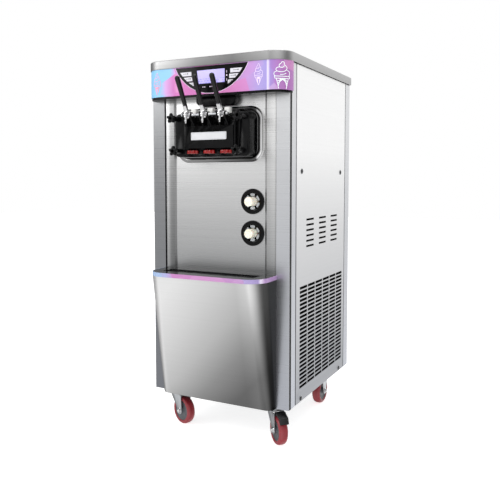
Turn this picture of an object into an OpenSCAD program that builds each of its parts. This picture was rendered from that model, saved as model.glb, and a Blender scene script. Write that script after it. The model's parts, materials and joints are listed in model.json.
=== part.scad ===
// Floor-standing soft-serve ice cream machine with three draw levers, on casters.
// X runs to the right seen from the front, Y runs to the back and Z runs up.
// The origin is on the floor, at the centre of the machine's outline.

/* [Cabinet] */
// Width of the cabinet over its side panels
body_w = 534; // [530:1:538]
// Depth from the front edge of the top cover to the back of the cabinet
body_d = 652; // [650:1:660]
// Height of the cabinet's underside above the floor
body_z = 125; // [124:1:126]
// Thickness of the sheet steel
sheet = 1.5; // [1.2:0.1:1.6]
// Width of a corner post's front face
post_w = 48; // [46:1:50]

/* [Top cover and fascia] */
// Width of the top cover
cover_w = 547; // [545:1:550]
// Height of the top of the machine above the floor
cover_top = 1300; // [1298:1:1302]
// Height of the top cover's folded edge
cover_h = 30; // [28:1:32]
// Radius of the top cover's front corners in plan
cover_r = 64; // [60:1:66]
// Height of the bottom edge of the fascia above the floor
fascia_z = 1176; // [1175:1:1177]

/* [Front] */
// Width of the lower apron
apron_w = 442; // [440:1:444]
// How far the apron's top edge stands in front of the top cover
apron_reach = 77; // [75:1:79]
// Height of the drip tray surround above the floor
tray_z = 574; // [572:1:576]
// Height of the cross centre of the dispensing head above the floor
head_z = 1035; // [1034:1:1036]
// Distance between two draw levers
lever_pitch = 64.5; // [63:0.5:66]
// Length of a draw lever from its pivot to the tip of its grip
lever_l = 137; // [130:1:138]

/* [Casters] */
// Radius of a wheel
wheel_r = 50; // [49:1:50]
// Width of a wheel's tread
wheel_w = 32; // [30:1:34]
// Direction of the front right caster, in degrees from +X
right_swivel = -44; // [-50:1:-40]
// Direction of the front left caster, in degrees from +X
left_swivel = -22; // [-30:1:-15]

/* [Hidden] */
$fn = 64;

tiny = 1;                          // overlap of a cutter past a face
half_w = body_w / 2;
cover_z = cover_top - cover_h;
inner_x = half_w - sheet;          // inner face of a side panel
gland_l = 14;                      // how far the cable gland stands out of the back
lever_lean = 28.5;                 // lean of a lever at rest, in degrees
grip_r = 8.7;
pivot_y = -39.5;                   // lever pivot in front of the cover's edge
pivot_z = head_z + 68.5;
grip_reach = (lever_l - grip_r) * sin(lever_lean) + grip_r - pivot_y;
front_y = (grip_reach - body_d - gland_l) / 2;   // the cover's front edge in the machine's frame

post_y = 48;                       // front face of a corner post
strip_y = 65;                      // front edge of the side strip of a corner post
strip_end = 99;
groove = 6;                        // open groove between a side strip and a side panel
return_d = 8;                      // depth of a side panel's folded edge
rear_strip_y = body_d - 49;
panel_y = 59;                      // front face of the flat middle of the front panel
panel_x = 174;                     // half width of that flat
panel_side_y = 53;
panel_edge_x = 216;

fascia_y = 2;
fascia_t = 2;
fascia_w = cover_w - 4;
fascia_end = 64;
lip_z = fascia_z - 8;

arc_r = 152.6;                     // lower edge of the control panel
arc_z = fascia_z + 155.3;
overlay_top = cover_z - 2;
overlay_y = 0.6;
key_r = 143;
key_gap = 0.3;
key_y = -0.6;
key_t = 1.6;
key_rows = [[75, 63, 76.5], [71, 45.5, 59], [66, 28.5, 40.5]];   // inner X, lower Z, upper Z over fascia_z

bezel_w = 336;
bezel_h = 186;
bezel_ring = 25;
bezel_y = 49;
bezel_z = head_z + 7;
flange_y = 3;
flange_back = 48.5;
flange_w = 286;
flange_h = 135;
block_w = 198;
block_y = -17;
boss_y = 4;                        // axis of the pistons
boss_top = pivot_z - 5;
piston_r = 9;
run = 0.05;                        // radial clearance of a running fit
cap_r = 23.5;
cap_y = -2;
cap_z = 977;
cap_h = 10.5;
knobs = [[119.5, -49], [127, 60.7]];   // X and Z over head_z of a lower and an upper knob
ear_r = 18;
stud_r = 4;
hub_w = 24;
hub_r = 8;
pin_r = 4;
collar_z = pivot_z + 5.5;

cone_x = 127.5;
cone_z = [710, 817];
cone_ring = 43;
cone_bore = 31;
cone_r = 15.5;
cone_front = 25;

well_w = 356;
well_y = -35;
well_d = 57;
lid_w = 440;
lid_d = 380;
lid_y = 110;
barrel_x = 80;
barrel_r = 50;
block_back = 400;
hopper_x = 112;
hopper_y = 118;
kingpin = [197, 90];
trail = 38;                        // wheel axle behind the kingpin
axle_r = 6;
rear_caster = [205, 502];
fork_in = wheel_w / 2 + 3;
leg_t = 3;
pedal_pivot = [40, 107];
fan_pos = [150, 330, 320];
gland_pos = [150, 220];            // X and Z
vent_z = 656;
grille_z = 172;

// Distances in Y are measured from the front edge of the top cover.
module place() {
    translate([0, front_y, 0]) children();
}

module slab(z0, z1) {
    translate([0, 0, z0]) linear_extrude(z1 - z0) children();
}

module block(x, y, z) {
    translate([x[0], y[0], z[0]]) cube([x[1] - x[0], y[1] - y[0], z[1] - z[0]]);
}

// Both halves of a mirrored pair
module both() {
    children();
    mirror([1, 0, 0]) children();
}

module rod_x(x, y, z, r) {
    translate([x[0], y, z]) rotate([0, 90, 0]) cylinder(r = r, h = x[1] - x[0]);
}

module rod_y(x, y, z, r) {
    translate([x, y[0], z]) rotate([-90, 0, 0]) cylinder(r = r, h = y[1] - y[0]);
}

module rod_z(x, y, z, r) {
    translate([x, y, z[0]]) cylinder(r = r, h = z[1] - z[0]);
}

// Extrudes a shape drawn in X and Z along Y
module plate_y(y0, y1) {
    translate([0, y1, 0]) rotate([90, 0, 0]) linear_extrude(y1 - y0) children();
}

// Extrudes a shape drawn in Y and Z along X
module plate_x(x0, x1) {
    translate([x0, 0, 0]) rotate([90, 0, 90]) linear_extrude(x1 - x0) children();
}

module round_rect(w, h, r) {
    square([w - 2 * r, h], center = true);
    square([w, h - 2 * r], center = true);
    for (x = [-1, 1], y = [-1, 1]) {
        translate([x * (w / 2 - r), y * (h / 2 - r)]) circle(r);
    }
}

// A plan with two rounded front corners, from y = 0 to y = l
module front_round(w, l, r) {
    intersection() {
        translate([-w / 2, 0]) square([w, l]);
        union() {
            translate([-w / 2, r]) square([w, l]);
            translate([r - w / 2, 0]) square([w - 2 * r, l]);
            for (x = [-1, 1]) {
                translate([x * (w / 2 - r), r]) circle(r);
            }
        }
    }
}

// The wall of such a plan, open at the back
module front_wall(w, l, r, t) {
    difference() {
        front_round(w, l, r);
        translate([0, t]) front_round(w - 2 * t, l, r - t);
    }
}

// ---- cabinet ----

module base_frame() {
    color("dimgray") place() {
        difference() {
            union() {
                block([-256, 256], [71, 640], [body_z, body_z + 6]);
                both() block([238, 254], [80, 588], [body_z + 6, body_z + 18]);
                both() translate([kingpin[0], kingpin[1], 0]) {
                    block([-38, 38], [-23, 45], [body_z - 4, body_z]);
                    rod_z(0, 0, [body_z - 9, body_z], 26);
                }
            }
            both() rod_z(kingpin[0], kingpin[1], [body_z - 9 - tiny, body_z + 4], axle_r + run);
        }
        block([-256, 256], [110, 592], [head_z - 59, head_z - 55]);
    }
}

module vent_rows(columns, rows, y0, pitch_y, z0, pitch_z) {
    for (c = [0:columns - 1], r = [0:rows - 1]) {
        translate([y0 + c * pitch_y, z0 + r * pitch_z]) children();
    }
}

module side_holes() {
    vent_rows(3, 6, 229, 122.8, vent_z + 3.5, 18.5) {
        square([65, 7], center = true);
        for (s = [-1, 1]) {
            translate([s * 32.5, 0]) circle(3.5);
        }
    }
    vent_rows(6, 25, 171.5, 73.5, grille_z + 5, 14.3) square([67, 9.6], center = true);
    vent_rows(2, 2, 150, 395, 136, 782) circle(2.7);
}

module side_panel() {
    y0 = strip_end + groove;
    y1 = rear_strip_y - groove;
    plate_x(inner_x, half_w) {
        difference() {
            translate([y0, body_z]) square([y1 - y0, cover_z - body_z]);
            side_holes();
        }
    }
    for (y = [y0, y1 - sheet]) {
        block([half_w - return_d, half_w], [y, y + sheet], [body_z, cover_z]);
    }
}

module right_side_panel() {
    color("silver") place() side_panel();
}

module left_side_panel() {
    color("silver") place() mirror([1, 0, 0]) side_panel();
}

module rear_panel() {
    color("silver") place() {
        plate_y(body_d - 3, body_d - sheet) {
            difference() {
                translate([-226, body_z + 6]) square([452, cover_z - body_z - 6]);
                for (x = [-1, 1]) {
                    translate([x * 75, 0]) vent_rows(1, 12, 0, 1, 900, 18) square([120, 7], center = true);
                }
                vent_rows(1, 20, 0, 1, 300, 16) square([300, 8], center = true);
                translate(gland_pos) circle(10);
            }
        }
    }
}

// Section of the right front corner post
module post_section() {
    translate([half_w - post_w, post_y]) square([post_w, sheet]);
    translate([half_w - post_w, post_y]) square([sheet, 22]);
    translate([half_w - 6.5, post_y]) square([sheet, strip_y - post_y]);
}

module strip_section() {
    translate([half_w - 6.5, strip_y]) square([6.5, sheet]);
    translate([half_w - sheet, strip_y]) square([sheet, strip_end - strip_y]);
    translate([half_w - 9.5, strip_end - sheet]) square([9.5, sheet]);
    translate([half_w - 9.5, strip_end - sheet]) square([sheet, 18]);
}

module rear_section() {
    translate([half_w - post_w, body_d - sheet]) square([post_w, sheet]);
    translate([half_w - sheet, rear_strip_y]) square([sheet, body_d - rear_strip_y]);
    translate([half_w - 9.5, rear_strip_y]) square([9.5, sheet]);
    translate([half_w - 9.5, rear_strip_y - 18]) square([sheet, 19]);
}

module corner_posts() {
    color("lightgray") place() both() {
        slab(body_z, lip_z) {
            post_section();
            strip_section();
        }
        slab(lip_z, cover_z) strip_section();
        slab(body_z, cover_z) rear_section();
    }
}

module corner_seals() {
    color("black") place() both() {
        block([half_w - 5, half_w], [post_y + sheet, strip_y], [body_z, lip_z]);
    }
}

module front_panel() {
    t = sheet;
    half = [[panel_x, panel_y], [panel_x + 8, panel_side_y], [panel_edge_x, panel_side_y],
        [panel_edge_x, panel_y + 7], [panel_edge_x - t, panel_y + 7],
        [panel_edge_x - t, panel_side_y + t], [panel_x + 8.6, panel_side_y + t],
        [panel_x + 0.6, panel_y + t]];
    mirrored = [for (i = [len(half) - 1:-1:0]) [-half[i][0], half[i][1]]];
    color("gainsboro") place() {
        difference() {
            slab(body_z + 6, lip_z) polygon(concat(half, mirrored));
            for (x = [-barrel_x, barrel_x]) {
                rod_y(x, [panel_y - tiny, panel_y + 4], head_z, 46);
            }
            for (z = cone_z) {
                rod_y(cone_x, [panel_y - tiny, panel_y + 4], z, 33.2);
            }
            both() rod_y(knobs[0][0], [panel_y - tiny, panel_y + 4], head_z + knobs[0][1], stud_r + run);
            both() rod_y(knobs[1][0], [panel_y - tiny, panel_y + 4], head_z + knobs[1][1], stud_r + run);
        }
    }
}

module apron_outline(grow) {
    t = -grow;
    translate([0, t - apron_reach]) front_round(apron_w - 2 * t, post_y + apron_reach + 20, 69 - t);
}

module apron_foot(grow) {
    t = -grow;
    translate([0, 15 + t]) front_round(apron_w - 2 * t, 53, 30 - t);
}

module apron_solid(grow) {
    hull() {
        slab(tray_z - 15, tray_z - 14) apron_outline(grow, $fn = 48);
        slab(body_z, body_z + 1) apron_foot(grow, $fn = 48);
    }
}

module lower_apron() {
    color("silver") place() {
        difference() {
            apron_solid(0);
            translate([0, 0, 0.01]) apron_solid(-sheet);
            block([-half_w, half_w], [post_y, post_y + 90], [body_z - tiny, tray_z]);
            translate([0, 0, tray_z - 14.5]) slab(0, 5) apron_outline(-sheet);
            translate([0, 0, body_z - 0.5]) slab(0, 1) apron_foot(-sheet);
        }
    }
}

module apron_band() {
    color("orchid") place() {
        slab(tray_z - 13.9, tray_z) {
            translate([0, -apron_reach]) front_wall(apron_w, post_y + apron_reach, 69, 2);
        }
    }
}

module tray_surround() {
    color([0.06, 0.06, 0.06]) place() {
        difference() {
            union() {
                slab(tray_z - 4, tray_z) {
                    translate([0, 2 - apron_reach]) {
                        front_round(apron_w - 4, post_y + apron_reach - 2, 67);
                    }
                }
                block([-213, 213], [post_y, panel_side_y], [tray_z - 4, tray_z]);
                block([-panel_x + 1, panel_x - 1], [panel_side_y, panel_y], [tray_z - 4, tray_z]);
            }
            block([-well_w / 2, well_w / 2], [well_y, well_y + well_d], [tray_z - 9, tray_z + 9]);
            block([-well_w / 2 - 3, well_w / 2 + 3], [well_y - 3, well_y + well_d + 3],
                [tray_z - 2, tray_z + 2]);
        }
    }
}

module drip_tray() {
    w = well_w - 2;
    y0 = well_y + 1;
    y1 = well_y + well_d - 1;
    rim = 2.4;
    color([0.1, 0.1, 0.1]) place() {
        difference() {
            union() {
                block([-w / 2, w / 2], [y0, y1], [tray_z - 40, tray_z - 1]);
                block([-w / 2 - rim, w / 2 + rim], [y0 - rim, y1 + rim], [tray_z - 1.7, tray_z - 0.2]);
            }
            block([2 - w / 2, w / 2 - 2], [y0 + 2, y1 - 2], [tray_z - 38, tray_z + 1]);
        }
        both() block([w / 2 - 7, w / 2 - 2], [y0 + 2, y1 - 2], [tray_z - 22, tray_z - 13]);
    }
}

module drip_grid() {
    w = well_w - 8;
    y0 = well_y + 4;
    bars = 6;
    pitch = (well_d - 8 - 4) / (bars - 1);
    color([0.2, 0.2, 0.2]) place() {
        for (i = [0:bars - 1]) {
            block([-w / 2, w / 2], [y0 + i * pitch, y0 + i * pitch + 4], [tray_z - 9, tray_z - 4]);
        }
        for (x = [-w / 2, -w / 6 - 2, w / 6 - 2, w / 2 - 4]) {
            block([x, x + 4], [y0, y0 + well_d - 8], [tray_z - 12.7, tray_z - 9]);
        }
    }
}

// ---- top and fascia ----

module top_cover() {
    y0 = lid_y;
    color("silver") place() {
        difference() {
            slab(cover_z, cover_top) front_round(cover_w, body_d, cover_r);
            slab(cover_z - tiny, cover_top - sheet) {
                translate([0, 2 * sheet]) {
                    front_round(cover_w - 4 * sheet, body_d - 4 * sheet, cover_r - 2 * sheet);
                }
            }
            block([-lid_w / 2 - 2, lid_w / 2 + 2], [y0 - 2, y0 + lid_d + 2],
                [cover_z, cover_top + tiny]);
        }
        difference() {
            block([-lid_w / 2 - 4, lid_w / 2 + 4], [y0 - 4, y0 + lid_d + 4],
                [cover_top - 10, cover_top - sheet]);
            block([-lid_w / 2 - 2, lid_w / 2 + 2], [y0 - 2, y0 + lid_d + 2],
                [cover_top - 10 + sheet, cover_top]);
            block([12 - lid_w / 2, lid_w / 2 - 12], [y0 + 12, y0 + lid_d - 12],
                [cover_top - 12, cover_top]);
        }
    }
}

module hopper_lid() {
    y0 = lid_y;
    z0 = cover_top - 8.2;
    color("silver") place() {
        difference() {
            block([-lid_w / 2, lid_w / 2], [y0, y0 + lid_d], [z0, cover_top]);
            block([sheet - lid_w / 2, lid_w / 2 - sheet], [y0 + sheet, y0 + lid_d - sheet],
                [z0 - tiny, cover_top - sheet]);
            block([-60, 60], [y0 + 30, y0 + 70], [z0, cover_top + tiny]);
        }
        difference() {
            block([-62, 62], [y0 + 28, y0 + 72], [z0 - 14, cover_top - sheet]);
            block([-60, 60], [y0 + 30, y0 + 70], [z0 - 12, cover_top + tiny]);
        }
        rod_x([-60, 60], y0 + 50, cover_top - 6, 4);
    }
}

module hopper() {
    difference() {
        union() {
            translate([hopper_x, hopper_y + 160, 0]) {
                slab(head_z + 67, cover_z - 8) round_rect(200, 320, 20);
                slab(cover_z - 10, cover_z - 8) round_rect(214, 334, 24);
            }
            rod_z(barrel_x, hopper_y + 60, [head_z + 55, head_z + 68], 14);
        }
        translate([hopper_x, hopper_y + 160, 0]) {
            slab(head_z + 69, cover_z) round_rect(197, 317, 18.5);
        }
        rod_z(barrel_x, hopper_y + 60, [head_z + 54, head_z + 70], 10);
    }
}

module hoppers() {
    color("silver") place() both() hopper();
}

// ---- freezing and cooling ----

module freezing_cylinders() {
    color("white") place() {
        difference() {
            block([-150, 150], [panel_y + 2, block_back], [head_z - 55, head_z + 55]);
            for (x = [-barrel_x, barrel_x]) {
                rod_y(x, [panel_y + 1, block_back - 10], head_z, barrel_r);
                rod_y(x, [block_back - 20, block_back + tiny], head_z, 8 + run);
                rod_z(x, hopper_y + 60, [head_z + 40, head_z + 56], 10);
            }
        }
    }
}

module beater(x) {
    place() {
        rod_y(x, [panel_y + 5, block_back + 9], head_z, 8);
        for (y = [70, 220, 370]) {
            rod_y(x, [y, y + 8], head_z, 30);
        }
        for (a = [0:90:270]) {
            translate([x, 0, head_z]) rotate([0, a, 0]) block([28, 46], [70, 378], [-3, 3]);
        }
    }
}

module beater_left() {
    color("ivory") beater(-barrel_x);
}

module beater_right() {
    color("ivory") beater(barrel_x);
}

module gear_motors() {
    color("steelblue") place() both() {
        difference() {
            block([barrel_x - 45, barrel_x + 45], [block_back + 1, 480], [head_z - 55, head_z + 45]);
            rod_y(barrel_x, [block_back, block_back + 10], head_z, 8 + run);
        }
        rod_y(barrel_x, [480, 600], head_z - 4, 43);
    }
}

module compressor() {
    z0 = body_z + 6;
    color([0.12, 0.12, 0.12]) place() translate([-110, 350, 0]) {
        block([-90, 90], [-70, 70], [z0, z0 + 4]);
        translate([0, 0, z0 + 4]) rotate_extrude() {
            polygon([[0, 0], [70, 0], [78, 8], [78, 180], [60, 205], [30, 214], [0, 214]]);
        }
        rod_x([70, 110], 20, z0 + 120, 4);
        rod_z(110, 20, [z0 + 116, z0 + 300], 4);
    }
}

module condenser() {
    z0 = body_z + 6;
    color("lightgray") place() {
        for (i = [0:15]) {
            block([180, 225], [190 + i * 19, 192 + i * 19], [z0, z0 + 330]);
        }
        for (z = [z0 + 40:50:z0 + 300]) {
            rod_y(202, [185, 482], z, 5);
        }
        difference() {
            block([172, 176], [180, 480], [z0, z0 + 330]);
            rod_x([170, 180], fan_pos[1], fan_pos[2], 125);
        }
        rod_x([95, 135], fan_pos[1], fan_pos[2], 32);
        rod_x([135, 158], fan_pos[1], fan_pos[2], pin_r);
        block([105, 125], [fan_pos[1] - 15, fan_pos[1] + 15], [z0, fan_pos[2] - 25]);
    }
}

module fan_blade() {
    color("gray") place() translate(fan_pos) {
        difference() {
            rod_x([-11, 12], 0, 0, 24);
            rod_x([-12, 9], 0, 0, pin_r + run);
        }
        for (a = [0:72:288]) {
            rotate([a, 0, 0]) translate([0, 0, 22]) rotate([0, 0, 28]) {
                block([-1, 1], [-24, 24], [0, 86]);
            }
        }
    }
}

module control_box() {
    color("darkgray") place() block([-inner_x, -200], [250, 500], [560, 800]);
}

// ---- fascia and controls ----

module fascia() {
    color("plum") place() {
        slab(fascia_z, cover_z) translate([0, fascia_y]) {
            front_wall(fascia_w, fascia_end, cover_r - 2, fascia_t);
        }
    }
}

module fascia_base() {
    color([0.05, 0.05, 0.05]) place() {
        slab(lip_z, fascia_z) translate([0, fascia_y + 2.5]) {
            front_round(fascia_w - 5, fascia_end - 4, cover_r - 4.5);
        }
        plate_y(30, panel_y) {
            polygon([[-76, lip_z], [76, lip_z], [76, lip_z - 16], [62, lip_z - 30],
                [-62, lip_z - 30], [-76, lip_z - 16]]);
        }
    }
}

// A sector above the control panel's lower arc, between two heights
module arc_field(r, x0, z0, z1) {
    intersection() {
        translate([0, arc_z]) circle(r, $fn = 128);
        translate([x0, z0]) square([400, z1 - z0]);
    }
}

module key_outline(row, grow) {
    k = key_rows[row];
    arc_field(key_r + grow, k[0] - grow, fascia_z + k[1] - grow, fascia_z + k[2] + grow);
}

module control_panel() {
    color([0.03, 0.03, 0.04]) place() {
        difference() {
            plate_y(overlay_y, fascia_y) arc_field(arc_r, -200, fascia_z, overlay_top);
            for (row = [0:2]) {
                both() plate_y(overlay_y - tiny, fascia_y + tiny) key_outline(row, key_gap);
            }
        }
    }
}

module display() {
    color("lavender") place() {
        plate_y(0.1, overlay_y) {
            polygon([[-53, 1254.5], [53.5, 1254.5], [53.5, 1210.5], [-46, 1210.5]]);
        }
    }
}

module key_right(row) {
    color("white") place() plate_y(key_y, key_y + key_t) key_outline(row, 0);
}

module key_left(row) {
    mirror([1, 0, 0]) key_right(row);
}

module key_left_top() {
    key_left(0);
}

module key_left_middle() {
    key_left(1);
}

module key_left_bottom() {
    key_left(2);
}

module key_right_top() {
    key_right(0);
}

module key_right_middle() {
    key_right(1);
}

module key_right_bottom() {
    key_right(2);
}

// ---- dispensing head ----

module head_bezel() {
    color("whitesmoke") place() translate([0, 0, bezel_z]) {
        difference() {
            union() {
                plate_y(bezel_y + 3, panel_y) round_rect(bezel_w, bezel_h, 46);
                plate_y(bezel_y, bezel_y + 3) round_rect(bezel_w - 8, bezel_h - 8, 42);
            }
            plate_y(bezel_y - tiny, panel_y + tiny) {
                round_rect(bezel_w - 2 * bezel_ring, bezel_h - 2 * bezel_ring, 22);
            }
        }
    }
}

module face_plate() {
    color([0.04, 0.04, 0.04]) place() {
        difference() {
            translate([0, 0, bezel_z]) plate_y(52, panel_y) round_rect(284, 134, 21);
            for (x = [-barrel_x, barrel_x]) {
                rod_y(x, [51, panel_y + tiny], head_z, 40);
            }
            both() rod_y(knobs[0][0], [51, panel_y + tiny], head_z + knobs[0][1], stud_r + run);
            both() rod_y(knobs[1][0], [51, panel_y + tiny], head_z + knobs[1][1], stud_r + run);
        }
    }
}

// One pair of ears that carries a lever, in Y and Z
module ear_side() {
    polygon([[-24, pivot_z - 36], [-9.5, pivot_z - 36], [-9.5, pivot_z - 6], [-31, pivot_z + 2],
        [-45, pivot_z - 8]]);
    translate([pivot_y, pivot_z]) circle(9);
}

module dispensing_head() {
    color([0.07, 0.07, 0.07]) place() {
        difference() {
            union() {
                plate_y(flange_y, flange_back) {
                    translate([0, head_z]) round_rect(flange_w, flange_h, 14);
                    for (x = [-1, 1], k = knobs) {
                        translate([x * k[0], head_z + k[1]]) circle(ear_r);
                    }
                }
                translate([0, 0, head_z + 4]) plate_y(flange_back, 52) round_rect(276, 122, 12);
                block([-block_w / 2, block_w / 2], [block_y + 6, flange_y], [head_z - 62, head_z + 50]);
                translate([0, 0, head_z - 3]) plate_y(block_y, block_y + 6) round_rect(188, 76, 5);
                for (i = [-1:1]) {
                    rod_z(i * lever_pitch, boss_y, [head_z, boss_top], 15);
                    for (s = [-1, 1]) {
                        x = i * lever_pitch + s * (hub_w / 2 + 2.75);
                        plate_x(x - 2.25, x + 2.25) ear_side();
                    }
                }
            }
            for (i = [-1:1]) {
                rod_z(i * lever_pitch, boss_y, [900, pivot_z], piston_r + run);
                rod_z(i * lever_pitch, cap_y, [900, cap_z + cap_h + 0.5], cap_r + 0.8);
            }
            rod_x([-100, 100], pivot_y, pivot_z, pin_r + run);
            both() for (k = knobs) {
                rod_y(k[0], [-20, 53], head_z + k[1], stud_r + run);
            }
        }
    }
}

module nozzle_caps() {
    color("red") place() for (i = [-1:1]) {
        difference() {
            rod_z(i * lever_pitch, cap_y, [cap_z, cap_z + cap_h], cap_r);
            translate([i * lever_pitch, boss_y, cap_z - tiny]) {
                for (a = [0:60:300]) {
                    rotate([0, 0, a]) translate([0, -1.2, 0]) cube([7, 2.4, cap_h + 2 * tiny]);
                }
            }
        }
    }
}

module star_knob(side, level) {
    lobes = 5;
    color([0.05, 0.05, 0.05]) place() translate([side * knobs[level][0], 0, head_z + knobs[level][1]]) {
        difference() {
            union() {
                plate_y(-52, -40) {
                    circle(12);
                    for (k = [0:lobes - 1]) {
                        rotate(90 + k * 360 / lobes) translate([12.5, 0]) circle(5.6);
                    }
                }
                rod_y(0, [-40, flange_y - 0.4], 0, 8.5);
            }
            rod_y(0, [-46, flange_y], 0, stud_r + run);
        }
    }
}

module knob_upper_left() {
    star_knob(-1, 1);
}

module knob_upper_right() {
    star_knob(1, 1);
}

module knob_lower_left() {
    star_knob(-1, 0);
}

module knob_lower_right() {
    star_knob(1, 0);
}

module draw_lever(i) {
    arm = 34;
    neck = 6.4;
    prong = 42;
    color([0.08, 0.08, 0.08]) place() translate([i * lever_pitch, pivot_y, pivot_z]) {
        difference() {
            union() {
                rod_x([-hub_w / 2, hub_w / 2], 0, 0, hub_r);
                rotate([lever_lean, 0, 0]) {
                    block([-7, 7], [-4, 4], [4, arm]);
                    translate([0, 0, arm]) cylinder(r1 = 7.2, r2 = grip_r, h = lever_l - arm - grip_r);
                    translate([0, 0, lever_l - grip_r]) sphere(grip_r);
                }
                for (s = [-1, 1]) {
                    translate([s * (neck + 2), 0, 0]) block([-2, 2], [0, prong], [-2.5, 2.5]);
                }
                block([-6, 6], [-18, -4], [-3, 3]);
                rod_z(0, -13, [-28, 6], 3.5);
                translate([0, -13, 3]) cylinder(r = 6.5, h = 4, $fn = 6);
                translate([0, -13, -9]) cylinder(r = 6.5, h = 5, $fn = 6);
                translate([0, -13, -22]) cylinder(r = 5, h = 6);
            }
            rod_x([-hub_w, hub_w], 0, 0, pin_r + run);
        }
    }
}

module lever_left() {
    draw_lever(-1);
}

module lever_middle() {
    draw_lever(0);
}

module lever_right() {
    draw_lever(1);
}

module piston(i) {
    color("white") place() {
        rod_z(i * lever_pitch, boss_y, [cap_z + cap_h + 4, boss_top - 3], piston_r);
        rod_z(i * lever_pitch, boss_y, [boss_top - 4, collar_z + 1], 5.5);
        translate([i * lever_pitch, boss_y, 0]) slab(collar_z, collar_z + 19) round_rect(20, 20, 3);
    }
}

module piston_left() {
    piston(-1);
}

module piston_middle() {
    piston(0);
}

module piston_right() {
    piston(1);
}

// ---- cone holders ----

module cone_dispensers() {
    color([0.05, 0.05, 0.05]) place() for (z = cone_z) {
        translate([cone_x, 0, z]) {
            difference() {
                union() {
                    rod_y(0, [panel_y - 6, panel_y], 0, cone_ring);
                    rod_y(0, [panel_y - tiny, 220], 0, 33);
                }
                rod_y(0, [panel_y - 7, 221], 0, cone_bore);
            }
            for (a = [30:60:330]) {
                rotate([0, a, 0]) block([17.5, 32], [panel_y - 1.5, panel_y], [-5, 5]);
            }
        }
    }
}

module wafer_cone(z) {
    color("wheat") place() translate([cone_x, 0, z]) rotate([-90, 0, 0]) rotate_extrude() {
        polygon([[0, cone_front], [cone_r - 1, cone_front], [cone_r, cone_front + 1],
            [cone_r, 110], [25, 118], [26, 165], [24, 165], [23, 120], [13, 112], [0, 112]]);
    }
}

module cone_upper() {
    wafer_cone(cone_z[1]);
}

module cone_lower() {
    wafer_cone(cone_z[0]);
}

// ---- hardware ----

module side_screw(y, z) {
    rod_x([half_w, half_w + 2], y, z, 6);
    rod_x([half_w - 12, half_w], y, z, 2.5);
}

module fasteners() {
    color("gray") place() {
        both() {
            for (y = [150, 545], z = [136, 918]) {
                side_screw(y, z);
            }
            for (k = knobs) {
                rod_y(k[0], [-45, panel_y + 1.8], head_z + k[1], stud_r);
            }
        }
        rod_x([-lever_pitch - 24, lever_pitch + 24], pivot_y, pivot_z, pin_r);
    }
}

module cable_gland() {
    bore_r = 6;
    color([0.1, 0.1, 0.1]) place() translate([gland_pos[0], 0, gland_pos[1]]) {
        difference() {
            union() {
                rod_y(0, [body_d - 15, body_d], 0, 9.9);
                translate([0, body_d - sheet, 0]) rotate([-90, 0, 0]) cylinder(r = 15, h = 6, $fn = 6);
                rod_y(0, [body_d, body_d + gland_l], 0, 11);
            }
            rod_y(0, [body_d - 16, body_d + gland_l + tiny], 0, bore_r);
        }
    }
}

// ---- casters ----

// One leg of a fork, in the rolling plane
module fork_leg(offset_u) {
    polygon([[-20, body_z - 17], [46, body_z - 17], [46, body_z - 23],
        [offset_u + 12, wheel_r + 6], [offset_u + 12, wheel_r - 4], [offset_u - 12, wheel_r - 4],
        [offset_u - 12, wheel_r + 4]]);
    translate([offset_u, wheel_r]) circle(13);
}

// A swivel fork at the kingpin, with its rolling direction along +X
module swivel_fork() {
    rod_z(0, 0, [body_z - 17, body_z - 9.3], 27);
    rod_z(0, 0, [body_z - 10, body_z + 3], axle_r);
    block([-20, 27], [-fork_in - leg_t, fork_in + leg_t], [body_z - 17, body_z - 14]);
    for (s = [-1, 1]) {
        translate([0, s * (fork_in + leg_t / 2) + leg_t / 2, 0]) {
            rotate([90, 0, 0]) linear_extrude(leg_t) fork_leg(trail);
        }
        translate([0, s > 0 ? fork_in + leg_t : -fork_in - leg_t - 5, 0]) {
            rod_y(trail, [0, 5], wheel_r, 9);
        }
    }
    rod_y(trail, [-fork_in - leg_t, fork_in + leg_t], wheel_r, axle_r);
    for (s = [-1, 1]) {
        translate([pedal_pivot[0], s > 0 ? fork_in - 8 : -fork_in - tiny, 0]) {
            rod_y(0, [0, 9], pedal_pivot[1], 3);
        }
    }
}

module wheel() {
    rim = wheel_w / 2;
    rotate([90, 0, 0]) rotate_extrude() {
        polygon([[axle_r + run, -rim], [14, -rim], [16, -rim + 4], [30, -rim + 4], [34, -rim],
            [wheel_r - 7, -rim], [wheel_r - 2, -rim + 4], [wheel_r, -rim + 10], [wheel_r, rim - 10],
            [wheel_r - 2, rim - 4], [wheel_r - 7, rim], [34, rim], [30, rim - 4], [16, rim - 4],
            [14, rim], [axle_r + run, rim]]);
    }
}

module at_front_left() {
    place() translate([-kingpin[0], kingpin[1], 0]) rotate([0, 0, left_swivel]) children();
}

module at_front_right() {
    place() translate([kingpin[0], kingpin[1], 0]) rotate([0, 0, right_swivel]) children();
}

module front_left_fork() {
    color("silver") at_front_left() swivel_fork();
}

module front_right_fork() {
    color("silver") at_front_right() swivel_fork();
}

module rear_forks() {
    leg = [[-32, body_z - 4], [32, body_z - 4], [12, wheel_r], [-12, wheel_r]];
    color("silver") place() both() translate([rear_caster[0], rear_caster[1], 0]) {
        block([-30, 30], [-42, 42], [body_z - 4, body_z]);
        for (x = [fork_in, -fork_in - leg_t]) {
            plate_x(x, x + leg_t) {
                polygon(leg);
                translate([0, wheel_r]) circle(13);
            }
        }
        rod_x([-fork_in - leg_t - 5, fork_in + leg_t + 5], 0, wheel_r, axle_r);
    }
}

module front_left_wheel() {
    color("firebrick") at_front_left() translate([trail, 0, wheel_r]) wheel();
}

module front_right_wheel() {
    color("firebrick") at_front_right() translate([trail, 0, wheel_r]) wheel();
}

module rear_wheel(side) {
    color("firebrick") place() {
        translate([side * rear_caster[0], rear_caster[1], wheel_r]) rotate([0, 0, 90]) wheel();
    }
}

module rear_left_wheel() {
    rear_wheel(-1);
}

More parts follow.
